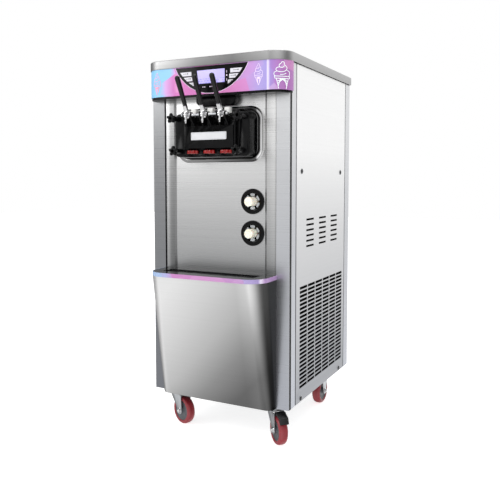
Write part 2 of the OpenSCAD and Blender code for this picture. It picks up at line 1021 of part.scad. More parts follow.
module rear_right_wheel() {
    rear_wheel(1);
}

module brake_pedal() {
    u = pedal_pivot[0];
    z = pedal_pivot[1];
    color("black") at_front_right() difference() {
        union() {
            translate([0, 15.5, 0]) rotate([90, 0, 0]) linear_extrude(31) {
                polygon([[u, z - 5], [u + 18, z - 3], [u + 38, z - 10], [u + 45, z - 25],
                    [u + 50, z - 22], [u + 44, z - 3], [u + 20, z + 6], [u, z + 5]]);
                translate([u, z]) circle(5);
            }
        }
        rod_y(u, [-20, 20], z, 3 + run);
    }
}

base_frame();
left_side_panel();
right_side_panel();
rear_panel();
front_panel();
corner_posts();
corner_seals();
lower_apron();
apron_band();
tray_surround();
drip_tray();
drip_grid();
top_cover();
hopper_lid();
hoppers();
freezing_cylinders();
beater_left();
beater_right();
gear_motors();
compressor();
condenser();
fan_blade();
control_box();
fascia();
fascia_base();
control_panel();
display();
key_left_top();
key_left_middle();
key_left_bottom();
key_right_top();
key_right_middle();
key_right_bottom();
head_bezel();
face_plate();
dispensing_head();
nozzle_caps();
knob_upper_left();
knob_upper_right();
knob_lower_left();
knob_lower_right();
lever_left();
lever_middle();
lever_right();
piston_left();
piston_middle();
piston_right();
cone_dispensers();
cone_upper();
cone_lower();
fasteners();
cable_gland();
front_left_fork();
front_right_fork();
rear_forks();
front_left_wheel();
front_right_wheel();
rear_left_wheel();
rear_right_wheel();
brake_pedal();
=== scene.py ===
"""Looks of a floor-standing soft-serve machine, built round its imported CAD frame.

Lengths inside the classes are in millimetres. A depth is measured from the front edge of the
top cover towards the back, and a height from the floor.
"""

import json
import logging
import math
from collections.abc import Iterable, Sequence
from dataclasses import dataclass, field
from enum import Enum

import bmesh
import bpy
from mathutils import Matrix, Vector


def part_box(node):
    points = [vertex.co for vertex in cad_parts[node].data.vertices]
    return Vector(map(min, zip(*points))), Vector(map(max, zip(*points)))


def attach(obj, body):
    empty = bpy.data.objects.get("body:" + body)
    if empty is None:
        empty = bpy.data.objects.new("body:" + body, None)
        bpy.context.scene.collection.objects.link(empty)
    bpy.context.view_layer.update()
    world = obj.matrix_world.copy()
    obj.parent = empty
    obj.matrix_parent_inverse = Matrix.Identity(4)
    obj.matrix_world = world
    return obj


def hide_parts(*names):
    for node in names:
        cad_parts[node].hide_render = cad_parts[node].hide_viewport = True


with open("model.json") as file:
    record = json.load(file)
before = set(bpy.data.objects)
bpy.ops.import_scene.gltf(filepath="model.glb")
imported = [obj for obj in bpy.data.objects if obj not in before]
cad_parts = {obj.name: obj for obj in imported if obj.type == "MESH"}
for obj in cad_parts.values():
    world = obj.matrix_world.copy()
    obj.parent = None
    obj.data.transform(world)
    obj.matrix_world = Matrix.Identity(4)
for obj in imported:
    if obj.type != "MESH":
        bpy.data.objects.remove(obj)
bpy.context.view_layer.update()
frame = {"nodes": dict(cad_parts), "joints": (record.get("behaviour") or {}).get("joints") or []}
LOG = logging.getLogger("soft_serve")
MM = 0.001
COVER_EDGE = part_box("top_cover")[0].y
RIGHT, BACK, UP = Vector((1, 0, 0)), Vector((0, 1, 0)), Vector((0, 0, 1))

Colour = tuple[float, float, float]
Outline = list[tuple[float, float]]
Stops = tuple[tuple[float, str], ...]
Socket = bpy.types.NodeSocket


def at(x: float, depth: float, z: float) -> Vector:
    """A point of the frame, in metres.

    Args:
        x: Millimetres to the right of the middle.
        depth: Millimetres behind the front edge of the top cover.
        z: Millimetres above the floor.

    Returns:
        The point in the frame's own metres.
    """
    return Vector((x * MM, COVER_EDGE + depth * MM, z * MM))


def tint(code: str) -> Colour:
    """A linear colour from its six hex digits.

    Args:
        code: Red, green and blue as two hex digits each.

    Returns:
        The linear red, green and blue.
    """
    shares = [int(code[i : i + 2], 16) / 255 for i in (0, 2, 4)]
    return tuple(s / 12.92 if s <= 0.04045 else ((s + 0.055) / 1.055) ** 2.4 for s in shares)


def ring_points(radius: float, count: int, start: float = 0.0) -> Outline:
    """Evenly spaced points of a circle about the origin.

    Args:
        radius: The circle's radius.
        count: How many points it has.
        start: The first point's angle in radians.

    Returns:
        The points, anticlockwise.
    """
    angles = [math.tau * i / count + start for i in range(count)]
    return [(radius * math.cos(a), radius * math.sin(a)) for a in angles]


def tinted(stops: Stops) -> list[tuple[float, Colour]]:
    """Ramp stops with their hex digits turned into linear colours."""
    return [(place, tint(code)) for place, code in stops]


def fill_ramp(band: bpy.types.ColorRamp, stops: Sequence[tuple[float, Colour]]) -> None:
    """Puts places and colours on a colour ramp.

    Args:
        band: The ramp.
        stops: Places from 0 to 1 with their colours.
    """
    while len(band.elements) < len(stops):
        band.elements.new(1.0)
    for element, (place, colour) in zip(band.elements, sorted(stops)):
        element.position = place
        element.color = (*colour, 1.0)


class Slot(Enum):
    """The record's material slots."""

    PANEL = "panel_steel"
    COVER = "cover_steel"
    CHROME = "chrome_trim"
    ZINC = "zinc_steel"
    PAINT = "frame_paint"
    RUBBER = "black_rubber"
    PRINT = "fascia_print"
    GLOSS = "black_gloss"
    SATIN = "black_satin"
    GLASS = "display_glass"
    WHITE = "white_plastic"
    RED = "red_plastic"
    WAFER = "wafer"
    TREAD = "wheel_red"
    FOOD = "food_plastic"
    CAST = "cast_grey"
    FOAM = "foam_white"
    FINS = "fin_aluminium"


class Axis(Enum):
    """The direction along which a sheet's painted shade or a print's colours run."""

    X = 0
    Y = 1
    Z = 2


# ---- finishes ----


class Recipe:
    """The node wiring of one finish."""

    def __init__(self, name: str) -> None:
        """Starts a material with its shader and its object coordinates.

        Args:
            name: The material's name.
        """
        self.material = bpy.data.materials.new(name)
        self.material.use_nodes = True
        tree = self.material.node_tree
        self.nodes, self.links = tree.nodes, tree.links
        self.shader = next(n for n in self.nodes if n.type == "BSDF_PRINCIPLED")
        self.place = self.nodes.new("ShaderNodeTexCoord").outputs["Object"]

    def constant(self, **values: float | tuple) -> "Recipe":
        """Sets shader sockets that are the same all over.

        Args:
            **values: Socket names, with underscores for spaces, and their values.

        Returns:
            The recipe itself.
        """
        for name, value in values.items():
            self.shader.inputs[name.replace("_", " ").title().replace("Ior", "IOR")].default_value = (
                (*value, 1.0) if isinstance(value, tuple) else value
            )
        return self

    def stretched(self, scale: Sequence[float], turn: Sequence[float] = (0, 0, 0)) -> Socket:
        """Object coordinates, scaled and turned for a pattern.

        Args:
            scale: Repeats per metre along X, Y and Z.
            turn: Turns about X, Y and Z in radians.

        Returns:
            The vector socket.
        """
        mapping = self.nodes.new("ShaderNodeMapping")
        mapping.inputs["Scale"].default_value = scale
        mapping.inputs["Rotation"].default_value = turn
        self.links.new(self.place, mapping.inputs["Vector"])
        return mapping.outputs["Vector"]

    def noise(self, vector: Socket, scale: float, detail: float = 2.0) -> Socket:
        """A noise value from 0 to 1.

        Args:
            vector: Where the noise is read.
            scale: Its scale.
            detail: Its octaves.

        Returns:
            The value socket.
        """
        made = self.nodes.new("ShaderNodeTexNoise")
        made.inputs["Scale"].default_value = scale
        made.inputs["Detail"].default_value = detail
        self.links.new(vector, made.inputs["Vector"])
        return made.outputs["Fac"]

    def part(self, axis: Axis, vector: Socket | None = None) -> Socket:
        """One coordinate of a vector, or of the object coordinates."""
        split = self.nodes.new("ShaderNodeSeparateXYZ")
        self.links.new(vector or self.place, split.inputs[0])
        return split.outputs[axis.value]

    def span(
        self, value: Socket, low: float, high: float, start: float = 0.0, end: float = 1.0
    ) -> Socket:
        """A value mapped from low..high to start..end, and held there.

        Args:
            value: The value to map.
            low: The value that becomes start.
            high: The value that becomes end.
            start: The result at low.
            end: The result at high.

        Returns:
            The mapped value socket.
        """
        made = self.nodes.new("ShaderNodeMapRange")
        made.inputs["From Min"].default_value = low
        made.inputs["From Max"].default_value = high
        made.inputs["To Min"].default_value = start
        made.inputs["To Max"].default_value = end
        self.links.new(value, made.inputs["Value"])
        return made.outputs["Result"]

    def sum(self, operation: str, a: Socket, b: Socket | float) -> Socket:
        """Two values put together.

        Args:
            operation: The maths node's operation.
            a: The first value.
            b: The second value, or a number.

        Returns:
            The result socket.
        """
        made = self.nodes.new("ShaderNodeMath")
        made.operation = operation
        self.links.new(a, made.inputs[0])
        if isinstance(b, (int, float)):
            made.inputs[1].default_value = b
        else:
            self.links.new(b, made.inputs[1])
        return made.outputs[0]

    def ramp(
        self, value: Socket, stops: Sequence[tuple[float, Colour]], steps: bool = False
    ) -> Socket:
        """A colour looked up along a ramp.

        Args:
            value: Where on the ramp.
            stops: Places from 0 to 1 with their colours.
            steps: Whether the colour jumps at each place.

        Returns:
            The colour socket.
        """
        made = self.nodes.new("ShaderNodeValToRGB")
        made.color_ramp.interpolation = "CONSTANT" if steps else "LINEAR"
        fill_ramp(made.color_ramp, stops)
        self.links.new(value, made.inputs["Fac"])
        return made.outputs["Color"]

    def mix(
        self,
        share: Socket | float,
        a: Socket | Colour,
        b: Socket | Colour,
        way: str = "MIX",
    ) -> Socket:
        """Two colours mixed.

        Args:
            share: How much of b, as a socket or a number.
            a: The first colour.
            b: The second colour.
            way: The blend type.

        Returns:
            The colour socket.
        """
        made = self.nodes.new("ShaderNodeMix")
        made.data_type = "RGBA"
        made.blend_type = way
        colours = [s for s in made.inputs if s.type == "RGBA"]
        for socket, value in zip([made.inputs[0], *colours], [share, a, b]):
            if isinstance(value, Socket):
                self.links.new(value, socket)
            else:
                socket.default_value = (*value, 1.0) if isinstance(value, tuple) else value
        return next(s for s in made.outputs if s.type == "RGBA")

    def feed(self, socket: str, value: Socket) -> "Recipe":
        """Links a value into one of the shader's sockets."""
        self.links.new(value, self.shader.inputs[socket])
        return self

    def relief(self, height: Socket, depth: float, strength: float = 1.0) -> "Recipe":
        """Gives the surface a fine relief.

        Args:
            height: The height from 0 to 1.
            depth: The relief's depth in metres.
            strength: How much of it shows.

        Returns:
            The recipe itself.
        """
        made = self.nodes.new("ShaderNodeBump")
        made.inputs["Distance"].default_value = depth
        made.inputs["Strength"].default_value = strength
        self.links.new(height, made.inputs["Height"])
        self.links.new(made.outputs["Normal"], self.shader.inputs["Normal"])
        return self


@dataclass(frozen=True)
class BrushedSteel:
    """Brushed stainless sheet whose colour carries painted shade and painted reflections: a ramp between
    two colours along one direction, optional painted bands across it and a painted diagonal fall-off.
    """

    name: str
    # low and high: the two colours of a painted shade ramp, set at start and end in millimetres along
    # the axis below.
    low: str
    high: str
    start: float
    end: float
    painted_shade_axis: Axis = Axis.Z
    roughness: float = 0.3
    streaks: float = 0.06
    grain: tuple[float, float, float] = (0.7, 0.7, 760.0)
    metallic: float = 1.0
    # Bands of painted highlight and painted shade across the sheet, and where they run.
    across: Stops = ()
    across_axis: Axis = Axis.X
    across_span: tuple[float, float] = (-270.0, 270.0)
    # A painted shade that falls off diagonally, lighter at the upper left.
    painted_diagonal_shade: Stops = ()

    def make(self) -> bpy.types.Material:
        """The finished material."""
        recipe = Recipe(self.name).constant(metallic=self.metallic)
        fine = recipe.noise(recipe.stretched(self.grain), 1.0, 3.0)
        broad = recipe.noise(recipe.stretched([g * 0.16 for g in self.grain]), 1.0, 2.0)
        # Painted shade: the colour runs from low to high along one axis, in place of light falling off
        # across the sheet.
        painted_shade_place = recipe.span(recipe.part(self.painted_shade_axis), self.start * MM, self.end * MM)
        colour = recipe.ramp(painted_shade_place, [(0.0, tint(self.low)), (1.0, tint(self.high))])
        # Painted highlights and painted shade in bands across the sheet, multiplied into the colour.
        if self.across:
            place = recipe.span(
                recipe.part(self.across_axis), self.across_span[0] * MM, self.across_span[1] * MM
            )
            band = recipe.ramp(place, tinted(self.across))
            colour = recipe.mix(1.0, colour, band, "MULTIPLY")
        # Painted shade falling off diagonally: lighter at the upper left, darker towards the lower
        # right.
        if self.painted_diagonal_shade:
            slant = recipe.sum("SUBTRACT", recipe.part(Axis.X), recipe.part(Axis.Z))
            shade = recipe.ramp(recipe.span(slant, -0.65, 0.0), tinted(self.painted_diagonal_shade))
            colour = recipe.mix(1.0, colour, shade, "MULTIPLY")
        grain = recipe.sum("ADD", recipe.sum("MULTIPLY", fine, 0.6), recipe.sum("MULTIPLY", broad, 0.4))
        shade = recipe.span(grain, 0.3, 0.7, 1 - self.streaks, 1.0)
        grey = recipe.ramp(shade, [(0.0, (0.0, 0.0, 0.0)), (1.0, (1.0, 1.0, 1.0))])
        recipe.feed("Base Color", recipe.mix(1.0, colour, grey, "MULTIPLY"))
        low, high = self.roughness - 0.06, self.roughness + 0.08
        recipe.feed("Roughness", recipe.span(fine, 0.3, 0.7, low, high))
        return recipe.relief(fine, 0.00003, 0.25).material


@dataclass(frozen=True)
class PolishedMetal:
    """Chrome, zinc or bare metal with faint smears."""

    name: str
    colour: str
    roughness: float = 0.1
    smear: float = 0.08
    scale: float = 60.0
    relief: float = 0.00004

    def make(self) -> bpy.types.Material:
        """The finished material."""
        recipe = Recipe(self.name).constant(metallic=1.0)
        cloud = recipe.noise(recipe.place, self.scale, 3.0)
        colour = tint(self.colour)
        darker = tuple(c * 0.82 for c in colour)
        recipe.feed("Base Color", recipe.ramp(cloud, [(0.3, darker), (0.65, colour)]))
        dull = self.roughness + self.smear
        recipe.feed("Roughness", recipe.span(cloud, 0.3, 0.7, self.roughness, dull))
        return recipe.relief(recipe.noise(recipe.place, self.scale * 8, 2.0), self.relief, 0.4).material


@dataclass(frozen=True)
class Moulded:
    """Moulded or painted plastic, rubber or paint, with a fine grain."""

    name: str
    colour: str
    roughness: float = 0.35
    grain: float = 900.0
    depth: float = 0.00006
    worn: str | None = None
    coat: float = 0.0
    specular: float = 0.5

    def make(self) -> bpy.types.Material:
        """The finished material."""
        recipe = Recipe(self.name).constant(coat_weight=self.coat, coat_roughness=0.05)
        recipe.shader.inputs["Specular IOR Level"].default_value = self.specular
        cloud = recipe.noise(recipe.place, 28.0, 4.0)
        colour = tint(self.colour)
        other = tint(self.worn) if self.worn else tuple(min(1.0, c * 1.25 + 0.002) for c in colour)
        recipe.feed("Base Color", recipe.ramp(cloud, [(0.3, colour), (0.75, other)]))
        low, high = max(0.02, self.roughness - 0.05), self.roughness + 0.06
        recipe.feed("Roughness", recipe.span(cloud, 0.3, 0.7, low, high))
        return recipe.relief(recipe.noise(recipe.place, self.grain, 2.0), self.depth, 0.5).material


@dataclass(frozen=True)
class PrintedFilm:
    """The coloured facets printed on the fascia and the apron's band, with a painted highlight in a
    narrow upright stripe.
    """

    name: str
    tones: Stops
    facet: float = 13.0
    contrast: float = 0.5
    height: float = 1.0

    def make(self) -> bpy.types.Material:
        """The finished material."""
        recipe = Recipe(self.name).constant(coat_weight=0.12, coat_roughness=0.12, roughness=0.4)
        where = recipe.stretched((1.0, 0.7, self.height), (0.0, 0.5, 0.0))
        cells = recipe.nodes.new("ShaderNodeTexVoronoi")
        cells.inputs["Scale"].default_value = self.facet
        cells.inputs["Randomness"].default_value = 1.0
        recipe.links.new(where, cells.inputs["Vector"])
        split = recipe.nodes.new("ShaderNodeSeparateColor")
        recipe.links.new(cells.outputs["Color"], split.inputs[0])
        across = recipe.sum("ADD", recipe.part(Axis.X), recipe.sum("MULTIPLY", split.outputs[1], 0.05))
        place = recipe.span(across, -0.2715, 0.3)
        base = recipe.ramp(place, tinted(self.tones))
        facets = recipe.ramp(
            split.outputs[0],
            tinted(((0.0, "B94A9F"), (0.3, "CB74B2"), (0.55, "B08DCB"), (0.8, "DCA0C8"))),
            steps=True,
        )
        strength = recipe.span(recipe.part(Axis.X), -0.150, -0.135, 0.04, self.contrast)
        colour = recipe.mix(strength, base, facets)
        # Painted highlight: colour in a narrow upright stripe near X = 0.21 m, where the fascia turns
        # into its right corner, is mixed towards near-white.
        rise = recipe.span(recipe.part(Axis.X), 0.204, 0.2095, 0.0, 0.7)
        fall = recipe.span(recipe.part(Axis.X), 0.2095, 0.217, 0.0, 0.7)
        painted_glint = recipe.ramp(colour, [(0.0, tint("F1EAF8")), (1.0, tint("F1EAF8"))])
        recipe.feed("Base Color", recipe.mix(recipe.sum("SUBTRACT", rise, fall), colour, painted_glint))
        return recipe.relief(recipe.noise(recipe.place, 300.0, 2.0), 0.00005, 0.2).material


@dataclass(frozen=True)
class DisplayFilm:
    """A lit liquid crystal window with faint segments."""

    name: str

    def make(self) -> bpy.types.Material:
        """The finished material."""
        recipe = Recipe(self.name).constant(roughness=0.15, coat_weight=0.5, emission_strength=0.2)
        brick = recipe.nodes.new("ShaderNodeTexBrick")
        upright = recipe.stretched((1.0, 1.0, 1.0), (math.pi / 2, 0.0, 0.0))
        recipe.links.new(upright, brick.inputs["Vector"])
        for name, value in (
            ("Scale", 1.0),
            ("Mortar Size", 0.0016),
            ("Brick Width", 0.011),
            ("Row Height", 0.0065),
            ("Mortar Smooth", 0.3),
        ):
            brick.inputs[name].default_value = value
        glow, dark = tint("A99FE0"), tint("7D77CF")
        low_band = recipe.span(recipe.part(Axis.Z), 1.232, 1.224)
        marks = recipe.sum("MULTIPLY", recipe.sum("SUBTRACT", low_band, brick.outputs["Fac"]), 0.75)
        islands = recipe.span(recipe.noise(recipe.place, 55.0), 0.45, 0.55)
        patches = recipe.sum("MULTIPLY", marks, islands)
        clouds = recipe.ramp(recipe.noise(recipe.place, 22.0), [(0.3, glow), (0.7, tint("BCB4EA"))])
        colour = recipe.mix(patches, clouds, dark)
        recipe.feed("Base Color", colour)
        recipe.feed("Emission Color", colour)
        return recipe.material


@dataclass(frozen=True)
class BakedWafer:
    """Pale baked wafer with a faint crumb."""

    name: str

    def make(self) -> bpy.types.Material:
        """The finished material."""
        recipe = Recipe(self.name).constant(roughness=0.6, subsurface_weight=0.1)
        crumb = recipe.noise(recipe.place, 160.0, 4.0)
        recipe.feed("Base Color", recipe.ramp(crumb, [(0.3, tint("E4DDC8")), (0.7, tint("F4F0E4"))]))
        return recipe.relief(crumb, 0.0002, 0.4).material


# ---- shaping ----


def round_rect(width: float, height: float, radius: float, steps: int = 8) -> Outline:
    """An upright rectangle with round corners about the origin.

    Args:
        width: Its width.
        height: Its height.
        radius: The corner radius.
        steps: Straight pieces in each corner.

    Returns:
        Its points, anticlockwise.
    """
    points = []
    for quarter, (sx, sy) in enumerate(((1, 1), (-1, 1), (-1, -1), (1, -1))):
        cx, cy = sx * (width / 2 - radius), sy * (height / 2 - radius)
        for i in range(steps + 1):
            angle = (quarter + i / steps) * math.pi / 2
            points.append((cx + radius * math.cos(angle), cy + radius * math.sin(angle)))
    return points


def front_round(width: float, start: float, end: float, radius: float, steps: int = 12) -> Outline:
    """A plan with two round front corners, from its back left round the front to its back right.

    Args:
        width: Its width.
        start: The depth of its front.
        end: The depth of its back.
        radius: The front corners' radius.
        steps: Straight pieces in each corner.

    Returns:
        Points as X and depth.
    """
    half = width / 2
    right = []
    for i in range(steps + 1):
        angle = i / steps * math.pi / 2
        x = half - radius + radius * math.sin(angle)
        right.append((x, start + radius - radius * math.cos(angle)))
    left = [(-x, d) for x, d in reversed(right)]
    return [(-half, end), *left, *right, (half, end)]


class Form:
    """A mesh in the making, shaped by bmesh operators."""

    def __init__(self) -> None:
        """Starts an empty form."""
        self.bm = bmesh.new()

    def chain(self, points: Iterable[Vector], closed: bool = False) -> list[bmesh.types.BMEdge]:
        """A line of edges.

        Args:
            points: Its points in metres.
            closed: Whether its end joins its start.

        Returns:
            The edges.
        """
        verts = [self.bm.verts.new(p) for p in points]
        pairs = list(zip(verts, verts[1:]))
        if closed:
            pairs.append((verts[-1], verts[0]))
        return [self.bm.edges.new(pair) for pair in pairs]

    def revolve(self, profile: Outline, centre: Vector, axis: Vector, steps: int = 48) -> "Form":
        """Adds a turned shape.

        Args:
            profile: Radius and place along the axis of each point.
            centre: Where the places along the axis start.
            axis: The axis of turning.
            steps: Straight pieces round it.

        Returns:
            The form itself.
        """
        along = axis.normalized()
        side = along.orthogonal().normalized()
        line = self.chain(centre + (side * r + along * a) * MM for r, a in profile)
        verts = list({v for e in line for v in e.verts})
        bmesh.ops.spin(
            self.bm,
            geom=line + verts,
            cent=centre,
            axis=along,
            angle=math.tau,
            steps=steps,
            use_merge=True,
        )
        return self.clean()

    def prism(self, outline: Outline, centre: Vector, right: Vector, up: Vector, depth: float) -> "Form":
        """Adds a straight piece with one outline.

        Args:
            outline: Points along right and up.
            centre: The outline's origin.
            right: The outline's first direction.
            up: The outline's second direction.
            depth: Its thickness, away from right x up.

        Returns:
            The form itself.
        """
        edges = self.chain((centre + (right * u + up * v) * MM for u, v in outline), closed=True)
        face = bmesh.ops.contextual_create(self.bm, geom=edges)["faces"]
        grown = bmesh.ops.extrude_face_region(self.bm, geom=face)["geom"]
        verts = [g for g in grown if isinstance(g, bmesh.types.BMVert)]
        bmesh.ops.translate(self.bm, vec=right.cross(up).normalized() * depth * MM, verts=verts)
        return self.clean()

    def block(self, low: Vector, high: Vector, turn: Matrix | None = None) -> "Form":
        """Adds a box between two corners.

        Args:
            low: Its lowest corner.
            high: Its highest corner.
            turn: What places the box afterwards.

        Returns:
            The form itself.
        """
        size = high - low
        place = Matrix.Translation((low + high) / 2) @ Matrix.Diagonal((*size, 1.0))
        bmesh.ops.create_cube(self.bm, size=1.0, matrix=(turn @ place) if turn else place)
        return self

    def loft(
        self, rings: Sequence[Iterable[Vector]], closed: bool = True
    ) -> list[list[bmesh.types.BMEdge]]:
        """Adds a skin through a row of rings.

        Args:
            rings: The points of each ring.
            closed: Whether each ring closes.

        Returns:
            The edges of each ring.
        """
        loops = [self.chain(ring, closed) for ring in rings]
        for a, b in zip(loops, loops[1:]):
            bmesh.ops.bridge_loops(self.bm, edges=a + b)
        return loops

    def soften(self, offset: float, segments: int = 2, sharper: float = 30.0) -> "Form":
        """Rounds the form's sharp edges.

        Args:
            offset: The width of the round in millimetres.
            segments: Strips across it.
            sharper: The least angle of an edge that is rounded, in degrees.

        Returns:
            The form itself.
        """
        self.clean()
        edges = [
            e
            for e in self.bm.edges
            if len(e.link_faces) == 2 and e.calc_face_angle(0.0) > math.radians(sharper)
        ]
        bmesh.ops.bevel(
            self.bm,
            geom=edges,
            offset=offset * MM,
            offset_type="OFFSET",
            affect="EDGES",
            segments=segments,
            profile=0.5,
            material=-1,
            clamp_overlap=True,
        )
        return self

    def clean(self) -> "Form":
        """Joins doubled points and turns every face outwards."""
        bmesh.ops.remove_doubles(self.bm, verts=self.bm.verts, dist=1e-6)
        bmesh.ops.recalc_face_normals(self.bm, faces=self.bm.faces)
        return self

    def add(self, other: "Form") -> "Form":
        """Takes another form's faces in as they are.

        Args:
            other: The form that is used up.

        Returns:
            The form itself.
        """
        carrier = bpy.data.meshes.new("carrier")
        other.bm.to_mesh(carrier)
        other.bm.free()
        self.bm.from_mesh(carrier)
        bpy.data.meshes.remove(carrier)
        return self

    @classmethod
    def copied(cls, node: str) -> "Form":
        """A form that starts as a merged copy of a CAD node.

        Args:
            node: The CAD node's name.

        Returns:
            The new form.
        """
        form = cls()
        form.bm.from_mesh(frame["nodes"][node].data)
        bmesh.ops.remove_doubles(form.bm, verts=form.bm.verts, dist=2e-6)
        bmesh.ops.dissolve_limit(
            form.bm,
            angle_limit=math.radians(0.5),
            verts=form.bm.verts,
            edges=form.bm.edges,
        )
        return form

    def mesh(self, name: str, smooth: float = 35.0) -> bpy.types.Object:
        """Ends the shaping.

        Args:
            name: The piece's name.
            smooth: Edges sharper than this stay sharp, in degrees.

        Returns:
            The new object, at the origin.
        """
        data = bpy.data.meshes.new(name)
        self.bm.to_mesh(data)
        self.bm.free()
        data.shade_smooth()
        data.set_sharp_from_angle(angle=math.radians(smooth))
        piece = bpy.data.objects.new(name, data)
        bpy.context.scene.collection.objects.link(piece)
        return piece


@dataclass
class Workshop:
    """Keeps the finishes, and dresses and places pieces."""

    finishes: dict[str, bpy.types.Material] = field(default_factory=dict)
    slots: dict[str, Slot] = field(default_factory=dict)

    def stock(self, slot: Slot, *finishes: object) -> None:
        """Makes finishes that belong to a slot."""
        for finish in finishes:
            self.finishes[finish.name] = finish.make()
            self.slots[finish.name] = slot

    def dress(self, finish: str, *nodes: str) -> None:
        """Gives CAD nodes a finish.

        Args:
            finish: The finish's name.
            *nodes: The nodes' names.
        """
        for name in nodes:
            node = frame["nodes"][name]
            if not node.material_slots:
                node.data.materials.append(None)
            for place in node.material_slots:
                place.material = self.finishes[finish]
            LOG.info("node %s wears %s", name, finish)

    def place(self, piece: bpy.types.Object, finish: str, body: str, *replaced: str) -> bpy.types.Object:
        """Dresses a new piece and makes it ride on a body.

        Args:
            piece: The new piece.
            finish: The finish's name.
            body: The CAD body.
            *replaced: The CAD nodes that it stands for.

        Returns:
            The piece.
        """
        piece.data.materials.clear()
        piece.data.materials.append(self.finishes[finish])
        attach(piece, body)
        if replaced:
            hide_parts(*replaced)
        LOG.info("piece %s rides on %s: %d faces", piece.name, body, len(piece.data.polygons))
        return piece


def joint(name: str) -> dict:
    """The frame's joint of that name."""
    return next(j for j in frame["joints"] if j["name"] == name)


@dataclass
class Line:
    """A fine printed line, drawn as a wire half sunk in its surface."""

    thickness: float = 1.6

    def draw(
        self, name: str, strokes: Sequence[Sequence[Vector]], closed: bool = False
    ) -> bpy.types.Object:
        """Draws strokes as one piece.

        Args:
            name: The piece's name.
            strokes: The points of each stroke in metres.
            closed: Whether each stroke closes.

        Returns:
            The mesh object.
        """
        curve = bpy.data.curves.new(name, "CURVE")
        curve.dimensions = "3D"
        curve.bevel_depth = self.thickness / 2 * MM
        curve.bevel_resolution = 1
        curve.resolution_u = 3
        curve.use_fill_caps = True
        for stroke in strokes:
            spline = curve.splines.new("BEZIER")
            spline.bezier_points.add(len(stroke) - 1)
            for knot, point in zip(spline.bezier_points, stroke):
                knot.co = point
                knot.handle_left_type = knot.handle_right_type = "AUTO"
            spline.use_cyclic_u = closed
        drawn = bpy.data.objects.new(name + "_curve", curve)
        bpy.context.scene.collection.objects.link(drawn)
        bpy.context.view_layer.update()
        graph = bpy.context.evaluated_depsgraph_get()
        data = bpy.data.meshes.new_from_object(drawn.evaluated_get(graph))
        data.name = name
        bpy.data.objects.remove(drawn)
        bpy.data.curves.remove(curve)
        piece = bpy.data.objects.new(name, data)
        bpy.context.scene.collection.objects.link(piece)
        return piece


# ---- sub-assemblies ----


